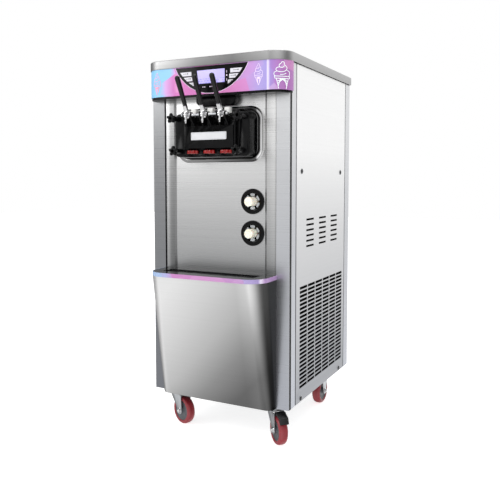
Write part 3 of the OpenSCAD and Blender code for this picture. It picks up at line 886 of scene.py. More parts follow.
@dataclass
class Cabinet:
    """The sheet-metal shell: cover, posts, panels, apron and what lines them."""

    shop: Workshop
    cover_width: float = 547.0
    cover_depth: float = 652.0
    cover_low: float = 1270.0
    cover_top: float = 1300.0
    corner: float = 64.0
    lid: tuple[float, float, float, float] = (-222.0, 222.0, 108.0, 492.0)
    apron_top: tuple[float, float, float] = (442.0, -77.0, 69.0)
    apron_foot: tuple[float, float, float] = (442.0, 15.0, 30.0)
    apron_heights: tuple[float, float] = (125.0, 560.2)

    def build(self) -> None:
        """Makes and dresses the shell."""
        self.cover()
        self.apron()
        self.grille_shade_sheets()
        self.side_screws()
        dress = self.shop.dress
        dress("side_steel", "left_side_panel", "right_side_panel")
        dress("rear_steel", "rear_panel")
        dress("front_steel", "front_panel")
        dress("post_steel", "corner_posts")
        dress("seal_rubber", "corner_seals")
        dress("band_print", "apron_band")
        dress("lid_steel", "hopper_lid")
        dress("tray_black", "drip_tray", "drip_grid")
        dress("gloss_black", "tray_surround")
        dress("zinc", "fasteners")
        dress("gland_black", "cable_gland")

    def cover_ring(self, inset: float, z: float) -> list[Vector]:
        """The cover's outline at a height, drawn in by an inset."""
        plan = front_round(
            self.cover_width - 2 * inset, inset, self.cover_depth - inset, self.corner - inset, 14
        )
        return [at(x, d, z) for x, d in plan]

    def cover(self) -> None:
        """The top cover, with a rolled edge and the lid's opening."""
        form = Form()
        low, top = self.cover_low, self.cover_top
        profile = [
            (2, low), (0.6, low), (0, low + 0.8), (0, top - 3.8), (0.45, top - 1.8), (1.7, top - 0.5),
            (3.8, top),
        ]
        loops = form.loft([self.cover_ring(i, z) for i, z in profile])
        x0, x1, d0, d1 = self.lid
        hole = [at((x0 + x1) / 2 + x, (d0 + d1) / 2 + d, self.cover_top) for x, d in
                round_rect(x1 - x0, d1 - d0, 5, 4)]
        rim = form.chain(hole, closed=True)
        bmesh.ops.triangle_fill(form.bm, use_beauty=True, edges=loops[-1] + rim)
        fall = bmesh.ops.extrude_edge_only(form.bm, edges=rim)["geom"]
        wall = [g for g in fall if isinstance(g, bmesh.types.BMVert)]
        bmesh.ops.translate(form.bm, vec=UP * -8.4 * MM, verts=wall)
        form.clean()
        self.shop.place(form.mesh("cover_shell", 25), "cover_steel", "cabinet", "top_cover")

    def apron(self) -> None:
        """The slanted apron under the tray, one smooth skin with rolled edges."""
        form = Form()
        low, high = self.apron_heights
        rings = []
        for share in (0.0, 0.01, 0.12, 0.25, 0.4, 0.55, 0.7, 0.85, 0.99, 1.0):
            width, front, radius = (
                a + (b - a) * share for a, b in zip(self.apron_foot, self.apron_top)
            )
            tuck = 0.8 if share in (0.0, 1.0) else 0.0
            plan = front_round(width - 2 * tuck, front + tuck, 48, radius - tuck, 16)
            rings.append([at(x, d, low + (high - low) * share) for x, d in plan])
        form.loft(rings, closed=False)
        form.clean()
        bmesh.ops.solidify(form.bm, geom=form.bm.faces[:], thickness=1.2 * MM)
        form.clean()
        self.shop.place(form.mesh("apron_skin", 40), "apron_steel", "cabinet", "lower_apron")

    def grille_shade_sheets(self) -> None:
        """Near-black matte sheets behind the side grilles and the upper slots, a dark stand-in for the
        shade inside the cabinet seen through the slots.
        """
        for side, name in ((1, "right"), (-1, "left")):
            form = Form()
            for z0, z1 in ((160, 545), (648, 770)):
                x0, x1 = sorted((side * 262.0, side * 264.6))
                form.add(Form().block(at(x0, 116, z0), at(x1, 588, z1)).soften(0.6))
            self.shop.place(form.mesh(f"{name}_shade_sheets"), "slot_shade_black", "cabinet")

    def side_screws(self) -> None:
        """Domed screw heads with washers on both sides."""
        head = [(0, 3.4), (3.5, 3.2), (6.4, 2.5), (8.2, 1.3), (8.6, 0.2), (8.6, 0)]
        washer = [(5, 0), (10, 0), (10, 0.5), (9.6, 0.8), (5, 0.8)]
        for side, name in ((1, "right"), (-1, "left")):
            heads, washers = Form(), Form()
            for depth in (150, 545):
                for z in (136, 918):
                    centre = at(side * 267, depth, z)
                    heads.add(Form().revolve(head, centre, RIGHT * side, 24))
                    washers.add(Form().revolve(washer, centre, RIGHT * side, 32))
            self.shop.place(heads.mesh(f"{name}_screw_heads"), "screw_black", "cabinet")
            self.shop.place(washers.mesh(f"{name}_screw_washers"), "zinc", "cabinet")


@dataclass
class ConeIcon:
    """A line drawing of a soft-serve cone on the fascia."""

    name: str
    middle: float
    width: float
    low: float
    high: float
    thickness: float
    finish: str
    pointed: bool = True
    flat: float = 209.5
    radius: float = 62.0

    def on_fascia(self, s: float, z: float) -> Vector:
        """A point on the fascia's face.

        Args:
            s: Millimetres along the face from its middle.
            z: Height above the floor.

        Returns:
            The point, in metres.
        """
        bend = max(0.0, abs(s) - self.flat) / self.radius
        side = math.copysign(1.0, s)
        x = side * (min(abs(s), self.flat) + self.radius * math.sin(bend))
        return at(x, 2.0 + self.radius * (1 - math.cos(bend)), z)

    def stroke(self, points: Outline) -> list[Vector]:
        """One stroke, from shares of the drawing's width and height."""
        if len(points) == 2:
            (u0, v0), (u1, v1) = points
            points = [(u0 + (u1 - u0) * i / 6, v0 + (v1 - v0) * i / 6) for i in range(7)]
        return [
            self.on_fascia(self.middle + u * self.width / 2, self.low + (self.high - self.low) * v)
            for u, v in points
        ]

    def strokes(self) -> list[list[Vector]]:
        """All strokes of the drawing."""
        swirl = [
            (-0.82, 0.46), (-1.0, 0.52), (-0.95, 0.6), (-0.72, 0.65), (-0.78, 0.72), (-0.6, 0.78),
            (-0.4, 0.8), (-0.42, 0.87), (-0.2, 0.93), (0.02, 1.0), (0.2, 0.95), (0.22, 0.88),
            (0.48, 0.82), (0.55, 0.75), (0.5, 0.7), (0.84, 0.65), (0.92, 0.56), (0.8, 0.46),
        ]
        folds = [
            [(-0.7, 0.65), (-0.2, 0.62), (0.3, 0.66), (0.5, 0.71)],
            [(-0.4, 0.8), (-0.05, 0.78), (0.22, 0.84)],
            [(-0.3, 0.52), (0.1, 0.53), (0.45, 0.58)],
        ]
        foot = 0.0 if self.pointed else 0.45
        lip = [[(-0.95, 0.46), (0.95, 0.46)], [(-0.9, 0.38), (0.9, 0.38)]]
        ends = [[(-0.95, 0.46), (-0.92, 0.42), (-0.9, 0.38)], [(0.95, 0.46), (0.92, 0.42), (0.9, 0.38)]]
        sides = [[(-0.72, 0.37), (-foot, 0.0)], [(0.72, 0.37), (foot, 0.0)]]
        waffle = []
        for k in range(1, 4):
            drop = 0.37 * (1 - k / 4)
            reach = foot + (0.72 - foot) * (1 - k / 4)
            shift = 0.72 - 0.72 * 2 * k / 4 * 0.9
            waffle.append([(shift, 0.37), (-reach, drop)])
            waffle.append([(-shift, 0.37), (reach, drop)])
        return [self.stroke(s) for s in [swirl, *folds, *lip, *ends, *sides, *waffle]]

    def draw(self, shop: Workshop) -> None:
        """Draws the icon onto the fascia."""
        piece = Line(self.thickness).draw(self.name, self.strokes())
        shop.place(piece, self.finish, "cabinet")


@dataclass
class Fascia:
    """The printed fascia, its lip and hood, and the control panel with keys and display."""

    shop: Workshop
    arc_radius: float = 152.6
    arc_height: float = 1331.3
    key_radius: float = 143.0
    key_rows: tuple[tuple[str, float, float, float], ...] = (
        ("top", 75, 1239, 1252.5),
        ("middle", 71, 1221.5, 1235),
        ("bottom", 66, 1204.5, 1216.5),
    )
    key_front: float = -0.6
    key_depth: float = 1.6

    def build(self) -> None:
        """Makes and dresses the fascia."""
        dress = self.shop.dress
        dress("fascia_print", "fascia")
        dress("gloss_black", "control_panel")
        dress("display_film", "display")
        self.lip()
        self.outline()
        self.display_frame()
        self.marks()
        for row in self.key_rows:
            for side, name in ((1, "right"), (-1, "left")):
                self.key(f"key_{name}_{row[0]}", side, row)
        for icon in (
            ConeIcon("corner_cone", 258, 56, 1178, 1263, 2.3, "mint_ink", pointed=False),
            ConeIcon("small_cone", 177, 30, 1192, 1260, 1.5, "pale_ink"),
            ConeIcon("left_cone", -217, 32, 1183, 1258, 1.5, "coral_ink"),
        ):
            icon.draw(self.shop)

    def lip(self) -> None:
        """The black lip under the fascia with the hood over the levers."""
        form = Form()
        rings = []
        for inset, z in ((3, 1168), (0.8, 1168.2), (0, 1169), (0, 1175.2), (0.6, 1175.9)):
            plan = front_round(538 - 2 * inset, 4.5 + inset, 64.5, 59.5 - inset, 12)
            rings.append([at(x, d, z) for x, d in plan])
        loops = form.loft(rings)
        bmesh.ops.holes_fill(form.bm, edges=loops[0])
        bmesh.ops.holes_fill(form.bm, edges=loops[-1])
        form.clean()
        hood = Form().prism(
            [(-76, 1168.4), (-76, 1152), (-62, 1138), (62, 1138), (76, 1152), (76, 1168.4)],
            at(0, 30, 0), RIGHT, UP, -29,
        ).soften(3.0, 4)
        self.shop.place(form.add(hood).mesh("lip_and_hood"), "satin_black", "cabinet", "fascia_base")

    def outline(self) -> None:
        """The pale line round the control panel's arc."""
        radius = self.arc_radius + 0.9
        reach = math.asin((self.arc_height - 1269) / radius)
        points = []
        for i in range(41):
            angle = math.pi + reach + (math.pi - 2 * reach) * i / 40
            points.append(
                at(radius * math.cos(angle), 1.9, self.arc_height + radius * math.sin(angle))
            )
        self.shop.place(Line(1.8).draw("panel_outline", [points]), "pale_ink", "cabinet")

    def key(self, node: str, side: int, row: tuple[str, float, float, float]) -> None:
        """One pillowed key pad with its mark.

        Args:
            node: The CAD node and body of the key.
            side: 1 on the right, -1 on the left.
            row: The row's name, inner X and heights.
        """
        _, inner, low, high = row
        raised = 1.2
        arc = []
        for i in range(7):
            z = low + (high - low) * i / 6
            arc.append((math.sqrt(self.key_radius**2 - (z - self.arc_height) ** 2), z))
        outline = [(inner, high), (inner, low), *arc]
        outline = [(side * x, z) for x, z in outline]
        form = Form().prism(outline, at(0, self.key_front, 0), RIGHT, UP, -self.key_depth)
        form.soften(0.45, 3)
        self.shop.place(form.mesh(node + "_pad"), "key_white", node, node)
        middle_x = side * (inner + (arc[3][0] - inner) * 0.55)
        centre = (low + high) / 2
        marks = Form()
        for dx, w, h in ((-7.5, 5.0, 1.6), (0.0, 6.0, 1.6), (7.0, 4.0, 4.0)):
            marks.add(
                Form().block(
                    at(middle_x + dx - w / 2, self.key_front - 0.12, centre - h / 2 + raised),
                    at(middle_x + dx + w / 2, self.key_front + 0.3, centre + h / 2 + raised),
                )
            )
        self.shop.place(marks.mesh(node + "_mark"), "ink_black", node)

    def display_frame(self) -> None:
        """A thin dark frame round the display window."""
        outline = [(-54.6, 1256.0), (-47.4, 1209.0), (55.0, 1209.0), (55.0, 1256.0)]
        points = [at(x, 0.45, z) for x, z in outline]
        sides = [[a, a.lerp(b, 0.5), b] for a, b in zip(points, points[1:] + points[:1])]
        self.shop.place(Line(0.8).draw("display_frame", sides), "satin_black", "cabinet")

    def marks(self) -> None:
        """Small generic marks under and beside the display."""
        form = Form()
        for x, z, w, h in (
            (-30, 1199, 4, 2.4), (-23, 1199, 4, 2.4), (-2, 1199, 5, 2.4), (5, 1199, 3, 2.4),
            (12, 1199, 4, 2.4), (61, 1232, 4, 4), (61, 1244, 1.2, 8), (61, 1218, 1.2, 8),
            (-62, 1226, 3, 3),
        ):
            low, high = at(x - w / 2, 0.45, z - h / 2), at(x + w / 2, 0.8, z + h / 2)
            form.add(Form().block(low, high).soften(0.1, 1))
        self.shop.place(form.mesh("panel_marks"), "pale_ink", "cabinet")


@dataclass
class MixingHead:
    """The black head with its bezel, plate, knobs, levers, pistons and nozzle caps."""

    shop: Workshop
    height: float = 1035.0
    pitch: float = 64.5
    bezel: tuple[float, float, float, float] = (336.0, 186.0, 46.0, 1042.0)
    lean: float = math.radians(28.5)
    block_half: float = 99.0
    block_heights: tuple[float, float] = (-62.0, 50.0)
    face: tuple[float, float, float] = (188.0, 76.0, 5.0)
    front: float = -17.0
    boss_top: float = 63.5
    boss_depth: float = 4.0
    pivot: tuple[float, float] = (-39.5, 68.5)
    ear_offset: float = 14.75
    ear_thickness: float = 4.5
    cap_low: float = 977.0
    cap_height: float = 10.5
    cap_depth: float = -2.0
    cap_room: float = 24.3
    plate: tuple[float, float, float] = (136.0, 25.5, 3.0)
    plate_shift: float = 1.4
    knobs: tuple[tuple[str, float, float], ...] = (("lower", 119.5, -49.0), ("upper", 127.0, 60.7))

    def build(self) -> None:
        """Makes and dresses the head."""
        self.make_bezel()
        self.body()
        self.name_plate()
        self.caps()
        self.shop.dress("gloss_black", "face_plate")
        for index, side in ((-1, "left"), (0, "middle"), (1, "right")):
            self.lever(side)
            self.piston(side, index * self.pitch)
        for sx, side in ((-1, "left"), (1, "right")):
            for level, x, dz in self.knobs:
                self.knob(f"knob_{level}_{side}", at(sx * x, 0, self.height + dz))

    def make_bezel(self) -> None:
        """The polished ring, rolled from its outer to its inner edge."""
        width, tall, radius, z = self.bezel
        profile = [
            (0, 59), (0, 56.5), (0.5, 54), (2, 51.6), (4.5, 49.9), (8, 49.1), (11.5, 49.4), (14, 50.4),
            (16, 51.2), (18, 50.9), (20, 50.6), (22.2, 51.2), (24, 53), (25, 56), (25, 59),
        ]
        form = Form()
        rings = []
        for inset, depth in profile:
            ring = round_rect(width - 2 * inset, tall - 2 * inset, radius - inset, 14)
            rings.append([at(x, depth, z + y) for x, y in ring])
        form.loft(rings)
        form.clean()
        self.shop.place(form.mesh("bezel_ring", 50), "bezel_steel", "cabinet", "head_bezel")

    def body(self) -> None:
        """The head's flange, block, raised face, bosses and lever ears."""
        z = self.height
        form, pins = Form(), Form()
        top = self.boss_top
        form.add(
            Form()
            .prism(round_rect(286, 135, 14), at(0, 3, z), RIGHT, UP, -45.5)
            .soften(2.5, 3)
        )
        for sx in (-1, 1):
            for _, x, dz in self.knobs:
                form.add(
                    Form().revolve(
                        [(0, 2.9), (14.5, 2.9), (16.8, 3.6), (18, 5.4), (18, 48)],
                        at(sx * x, 0, z + dz), BACK, 40,
                    )
                )
        low, high = (z + rise for rise in self.block_heights)
        block = Form().block(at(-self.block_half, -11, low), at(self.block_half, 12, high))
        form.add(block.soften(5, 4))
        form.add(
            Form()
            .prism(round_rect(*self.face), at(0, self.front, z - 3), RIGHT, UP, -8)
            .soften(1.6, 3)
        )
        for index in (-1, 0, 1):
            x = index * self.pitch
            form.add(
                Form().revolve(
                    [
                        (9.2, top - 2), (9.6, top), (12.6, top), (14.3, top - 0.7), (15, top - 2.4),
                        (15, 56), (15.6, 55), (15.6, 53), (15, 52), (15, 2),
                    ],
                    at(x, self.boss_depth, z), UP, 40,
                )
            )
            for side in (-1, 1):
                self.ear(form, x + side * self.ear_offset)
                pins.add(
                    Form().revolve(
                        [(0, 4.4), (2.6, 4.1), (4.6, 2.8), (5.4, 1.0), (5.4, 0)],
                        at(x + side * 17, self.pivot[0], z + self.pivot[1]), RIGHT * side, 24,
                    )
                )
        notches = Form()
        for index in (-1, 0, 1):
            centre = at(index * self.pitch, self.cap_depth, z)
            room = [(0, -80), (self.cap_room, -80), (self.cap_room, -47), (0, -47)]
            notches.add(Form().revolve(room, centre, UP, 40))
        piece = form.mesh("head_body", 40)
        tool = notches.mesh("notch_tool")
        self.cut(piece, tool)
        self.shop.place(piece, "satin_black", "cabinet", "dispensing_head")
        self.shop.place(pins.mesh("pin_caps"), "chrome", "cabinet")

    def ear(self, form: Form, x: float) -> None:
        """Adds one rounded ear that carries a lever's pin.

        Args:
            form: The form that takes it.
            x: The ear's middle.
        """
        px, pz = self.pivot[0], self.height + self.pivot[1]
        round_end = []
        for i in range(11):
            angle = math.radians(-20 + 200 * i / 10)
            round_end.append((px + 9 * math.cos(angle), pz + 9 * math.sin(angle)))
        outline = [*round_end, (-47, pz - 12), (-24, pz - 36), (-9.5, pz - 36), (-9.5, pz - 6)]
        form.add(
            Form()
            .prism(outline, at(x - self.ear_thickness / 2, 0, 0), BACK, UP, self.ear_thickness)
            .soften(0.7, 2, 40)
        )

    @staticmethod
    def cut(piece: bpy.types.Object, tool: bpy.types.Object) -> None:
        """Cuts a tool out of a piece and removes the tool.

        Args:
            piece: The piece that is cut.
            tool: The shape that is taken away.
        """
        bite = piece.modifiers.new("bite", "BOOLEAN")
        bite.object, bite.operation, bite.solver = tool, "DIFFERENCE", "EXACT"
        bite.use_self = True
        bpy.context.view_layer.update()
        shaped = bpy.data.meshes.new_from_object(
            piece.evaluated_get(bpy.context.evaluated_depsgraph_get())
        )
        piece.modifiers.clear()
        old, piece.data = piece.data, shaped
        bpy.data.meshes.remove(old)
        bpy.data.objects.remove(tool)

    def name_plate(self) -> None:
        """A blank plate with a ruled border."""
        width, tall, corner = self.plate
        centre, border_inset = at(self.plate_shift, self.front - 1.3, self.height), 3.0
        plate = Form().prism(round_rect(*self.plate), centre, RIGHT, UP, -1.6).soften(0.5, 3)
        self.shop.place(plate.mesh("blank_plate"), "plate_white", "cabinet")
        inner = round_rect(width - 2 * border_inset, tall - 2 * border_inset, corner - 0.8, 3)
        border = [[centre + Vector((x, -0.05, y)) * MM for x, y in inner]]
        self.shop.place(Line(0.7).draw("plate_border", border, closed=True), "plate_grey", "cabinet")

    def caps(self) -> None:
        """The red star caps under the nozzles."""
        form = Form()
        for index in (-1, 0, 1):
            star = []
            for i in range(72):
                angle = math.tau * i / 72
                r = 22.3 + 1.2 * math.cos(angle * 12)
                star.append((r * math.cos(angle), r * math.sin(angle)))
            centre = at(index * self.pitch, self.cap_depth, self.cap_low)
            cap = Form().prism(star, centre, RIGHT, BACK, self.cap_height)
            form.add(cap.soften(1.0, 2, 50))
        self.shop.place(form.mesh("star_caps"), "cap_red", "cabinet", "nozzle_caps")

    def knob(self, node: str, centre: Vector) -> None:
        """One five-lobed hand knob with a domed face.

        Args:
            node: The CAD node and body.
            centre: The stud's axis at the cover's edge.
        """
        outline = []
        for i in range(80):
            angle = math.tau * i / 80 + math.pi / 2
            swing = math.cos(5 * (angle - math.pi / 2))
            r = 14.6 + 3.4 * swing - 0.5 * swing * swing
            outline.append((r * math.cos(angle), r * math.sin(angle)))
        form = Form()
        rings = []
        for scale, depth in (
            (0.62, -52), (0.8, -51.6), (0.92, -50.6), (0.985, -49), (1.0, -47), (1.0, -43.5),
            (0.96, -41.6), (0.86, -40.4), (0.6, -40),
        ):
            rings.append(
                [centre + (RIGHT * x * scale + UP * y * scale + BACK * depth) * MM for x, y in outline]
            )
        loops = form.loft(rings)
        bmesh.ops.holes_fill(form.bm, edges=loops[0])
        bmesh.ops.holes_fill(form.bm, edges=loops[-1])
        form.clean()
        form.add(
            Form().revolve(
                [
                    (0, -40.5), (9.5, -40.5), (8.8, -38), (8.5, -34), (8.5, -8), (9.2, -5), (9.6, 1),
                    (9.6, 2.6), (4, 2.6),
                ],
                centre, BACK, 32,
            )
        )
        form.add(Form().revolve([(0, -52), (5.6, -52), (6.2, -51.6), (6.4, -50)], centre, BACK, 24))
        self.shop.place(form.mesh(node + "_grip", 40), "satin_black", node, node)

    def lever(self, side: str) -> None:
        """One draw lever: grip, chrome arm, hub, yoke and adjusting screw.

        Args:
            side: left, middle or right.
        """
        node = "lever_" + side
        pivot = Vector(joint(node + "_pull")["pos_m"])
        up = Vector((0, -math.sin(self.lean), math.cos(self.lean)))
        turn = Matrix.Translation(pivot) @ Matrix.Rotation(self.lean, 4, "X")
        grip = [
            (0, 33), (5.6, 33), (6.7, 33.6), (7.2, 35), (7.3, 40), (7.7, 60), (8.3, 95), (8.7, 120),
            (8.7, 128.3),
        ]
        for i in range(1, 9):
            angle = i / 8 * math.pi / 2
            grip.append((8.7 * math.cos(angle), 128.3 + 8.7 * math.sin(angle)))
        form = Form().revolve(grip, pivot, up, 40)
        self.shop.place(form.mesh(node + "_grip", 50), "grip_black", node, node)
        steel = Form()
        steel.add(self.arm(turn))
        hub = [
            (4.1, -12), (7, -12), (8, -11), (8, -8), (6.2, -7), (6.2, 7), (8, 8), (8, 11), (7, 12),
            (4.1, 12),
        ]
        steel.add(Form().revolve(hub, pivot, RIGHT, 32))
        for sx in (-1, 1):
            low = pivot + Vector((sx * 8.4 - 2, 0, -2.5)) * MM
            high = pivot + Vector((sx * 8.4 + 2, 42, 2.5)) * MM
            steel.add(Form().block(low, high).soften(0.9, 2))
        low, high = (pivot + Vector(corner) * MM for corner in ((-6, -18, -3), (6, -4, 3)))
        steel.add(Form().block(low, high).soften(1.2, 3))
        steel.add(self.screw(pivot + Vector((0, -13, 0)) * MM))
        self.shop.place(steel.mesh(node + "_steel", 35), "chrome", node)

    @staticmethod
    def arm(turn: Matrix) -> Form:
        """The flat arm with a recess down its front.

        Args:
            turn: The placing of the lever's own frame.

        Returns:
            The arm's form.
        """
        form = Form().block(Vector((-6.6, -7.8, -8)) * MM, Vector((6.6, 3, 36)) * MM, turn)
        form.bm.faces.ensure_lookup_table()
        front = turn.to_3x3() @ Vector((0, -1, 0))
        for face in list(form.bm.faces):
            if abs(face.normal.dot(front)) > 0.9:
                bmesh.ops.inset_region(form.bm, faces=[face], thickness=2.4 * MM, depth=-1.0 * MM)
        return form.soften(0.7, 2)

    @staticmethod
    def screw(centre: Vector) -> Form:
        """The threaded adjusting screw with its nuts.

        Args:
            centre: The screw's axis at the pivot's height.

        Returns:
            The screw's form.
        """
        thread: Outline = [(0, 7), (2.6, 7), (3.3, 6.2)]
        for i in range(21):
            thread += [(3.5, 5.6 - i * 1.5), (2.9, 4.85 - i * 1.5)]
        thread += [(2.6, -28), (0, -28)]
        form = Form().revolve(thread, centre, UP, 20)
        radius = 6.5
        for low, tall in ((3, 4), (-9, 5)):
            nut = Form().prism(ring_points(radius, 6), centre + UP * low * MM, RIGHT, BACK, tall)
            form.add(nut.soften(0.5, 2))
        stop = [(3, -22), (4.4, -22), (5, -21.4), (5, -16.6), (4.4, -16), (3, -16)]
        return form.add(Form().revolve(stop, centre, UP, 24))

    def piston(self, side: str, x: float) -> None:
        """One piston with its square white top.

        Args:
            side: left, middle or right.
            x: The piston's axis.
        """
        node = "piston_" + side
        low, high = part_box(node)
        axis = at(x, self.boss_depth, 0)
        top = high.z / MM
        foot, neck, tall = low.z / MM, self.height + self.boss_top - 3, 19
        form = Form().prism(round_rect(20, 20, 3, 4), axis + UP * (top - tall) * MM, RIGHT, BACK, tall)
        form.soften(1.1, 3, 60)
        rod = [
            (0, top - 20), (5.5, top - 20), (5.5, neck), (8.6, neck), (9, neck - 0.5), (9, foot + 0.6),
            (8.4, foot), (0, foot),
        ]
        form.add(Form().revolve(rod, axis, UP, 32))
        form.add(Form().revolve([(0, top), (5, top), (5.4, top - 0.4)], axis, UP, 24))
        self.shop.place(form.mesh(node + "_top"), "food_white", node, node)


@dataclass
class ConeHolder:
    """The two built-in cone holders and their cones."""

    shop: Workshop
    x: float = 127.5
    heights: tuple[tuple[str, float], ...] = (("cone_upper", 817.0), ("cone_lower", 710.0))
    fingers: int = 6

    def build(self) -> None:
        """Makes both holders and their cones."""
        rim = [
            (31.2, 120), (31.2, 58), (27.2, 57.4), (27.2, 56), (28.6, 54), (31.5, 53), (36, 52.8),
            (40, 52.9), (41.9, 53.6), (42.8, 55), (43, 57), (43, 59.2),
        ]
        sleeve = [(33, 119), (31.4, 219), (0, 219.5)]
        wafer = [
            (0, 26.4), (8.8, 26.4), (9.8, 25.6), (11.2, 25.1), (13.6, 25), (15, 25.7), (15.5, 27.4),
            (15.5, 110), (25, 118), (26, 165), (24, 165), (23, 120), (13, 112), (0, 112),
        ]
        rings, petals = Form(), Form()
        for body, z in self.heights:
            centre = at(self.x, 0, z)
            rings.add(Form().revolve(rim, centre, BACK, 64))
            rings.add(Form().revolve(sleeve, centre, BACK, 48))
            for k in range(self.fingers):
                petals.add(self.petal(centre, math.tau * (k + 0.5) / self.fingers))
            cone = Form().revolve(wafer, centre, BACK, 48)
            self.shop.place(cone.mesh(body + "_wafer"), "wafer_pale", body, body)
        self.shop.place(rings.mesh("cone_rings"), "gloss_black", "cabinet", "cone_dispensers")
        self.shop.place(petals.mesh("cone_fingers"), "finger_white", "cabinet")

    def petal(self, centre: Vector, angle: float) -> Form:
        """One spring finger, dished towards the cone.

        Args:
            centre: The holder's axis at the cover's edge.
            angle: The finger's direction.

        Returns:
            The finger's form.
        """
        form = Form()
        rings = []
        for radius, depth, half in (
            (28.0, 57.2, 0.26), (24.5, 57.6, 0.36), (20.5, 59.0, 0.37), (16.6, 61.6, 0.24),
        ):
            turns = [angle + half * (i / 4 - 1) for i in range(9)]
            out = [RIGHT * math.cos(turn) * radius + UP * math.sin(turn) * radius for turn in turns]
            rings.append([centre + (spoke + BACK * depth) * MM for spoke in out])
        form.loft(rings, closed=False)
        form.clean()
        bmesh.ops.solidify(form.bm, geom=form.bm.faces[:], thickness=1.0 * MM)
        return form.clean()


@dataclass
class Casters:
    """Forks, wheels and the brake pedal."""

    shop: Workshop
    radius: float = 50.0
    half: float = 16.0

    def build(self) -> None:
        """Makes and dresses the four casters."""
        for place, carrier in (
            ("front_left", "front_left_caster"),
            ("front_right", "front_right_caster"),
            ("rear_left", "cabinet"),
            ("rear_right", "cabinet"),
        ):
            data = joint(place + "_wheel_spin")
            centre, axle = Vector(data["pos_m"]), Vector(data["axis"]).normalized()
            self.wheel(place + "_wheel", centre, axle)
            self.bolts(place + "_axle", centre, axle, carrier)
        for node, body in (
            ("front_left_fork", "front_left_caster"),
            ("front_right_fork", "front_right_caster"),
            ("rear_forks", "cabinet"),
        ):
            fork = Form.copied(node).soften(0.5, 2, 40)
            self.shop.place(fork.mesh(node + "_pressed"), "zinc", body, node)
        pedal = Form.copied("brake_pedal").soften(1.0, 3, 35)
        self.shop.place(pedal.mesh("pedal_pad"), "pedal_black", "brake_pedal", "brake_pedal")

    def wheel(self, node: str, centre: Vector, axle: Vector) -> None:
        """A cast tread on a ringed hub.

        Args:
            node: The CAD node and body.
            centre: The wheel's middle.
            axle: The axle's direction.
        """
        r, h = self.radius, self.half
        edge = [
            (35.6, 12.4), (36.2, 14.2), (38, 15.4), (41, h), (44, 15.4), (46.6, 13.6), (48.6, 10.8),
            (49.7, 7.2),
        ]
        profile = [(a, -b) for a, b in edge] + [(r, -3.2), (r, 3.2)] + edge[::-1]
        tread = Form().revolve([*profile, profile[0]], centre, axle, 72)
        self.shop.place(tread.mesh(node + "_tread", 50), "tread_red", node, node)
        face = [
            (6.1, 15.9), (10, 15.9), (11.2, 15.2), (12, 12.6), (14, 11.6), (24, 11.2), (26, 11.8),
            (27, 12.8), (28.4, 12.8), (29.2, 11.9), (32, 11.6), (33.2, 12.8), (35.8, 13),
        ]
        profile = [(a, -b) for a, b in face] + face[::-1] + [(6.1, -15.9)]
        hub = Form().revolve(profile, centre, axle, 64)
        self.shop.place(hub.mesh(node + "_hub", 40), "hub_grey", node)

    def bolts(self, name: str, centre: Vector, axle: Vector, body: str) -> None:
        """Bolt heads and washers at the ends of one axle.

        Args:
            name: The piece's name.
            centre: The axle's middle.
            axle: The axle's direction.
            body: The body that carries the axle.
        """
        washer = [(6, 22), (10.4, 22), (10.4, 23), (9.9, 23.5), (6, 23.5)]
        tip = [(0, 29.4), (3.4, 29.4), (4, 28.8), (4, 27)]
        form = Form()
        for side in (-1, 1):
            out = axle * side
            across = out.cross(UP).normalized()
            tall = math.copysign(4.4, across.cross(UP).dot(out))
            head = Form().prism(ring_points(7.6, 6), centre + out * 23.2 * MM, across, UP, tall)
            form.add(head.soften(0.7, 2))
            form.add(Form().revolve(washer, centre, out, 32))
            form.add(Form().revolve(tip, centre, out, 20))
        self.shop.place(form.mesh(name), "chrome", body)


@dataclass
class Works:
    """What is inside the cabinet: mix, freezing and cooling parts."""

    shop: Workshop

    def build(self) -> None:
        """Dresses the inner nodes."""
        dress = self.shop.dress
        dress("frame_enamel", "base_frame")
        dress("hopper_steel", "hoppers")
        dress("foam", "freezing_cylinders")
        dress("beater_white", "beater_left", "beater_right")
        dress("motor_enamel", "gear_motors")
        dress("compressor_black", "compressor")
        dress("fins", "condenser")
        dress("fan_grey", "fan_blade")
        dress("box_zinc", "control_box")


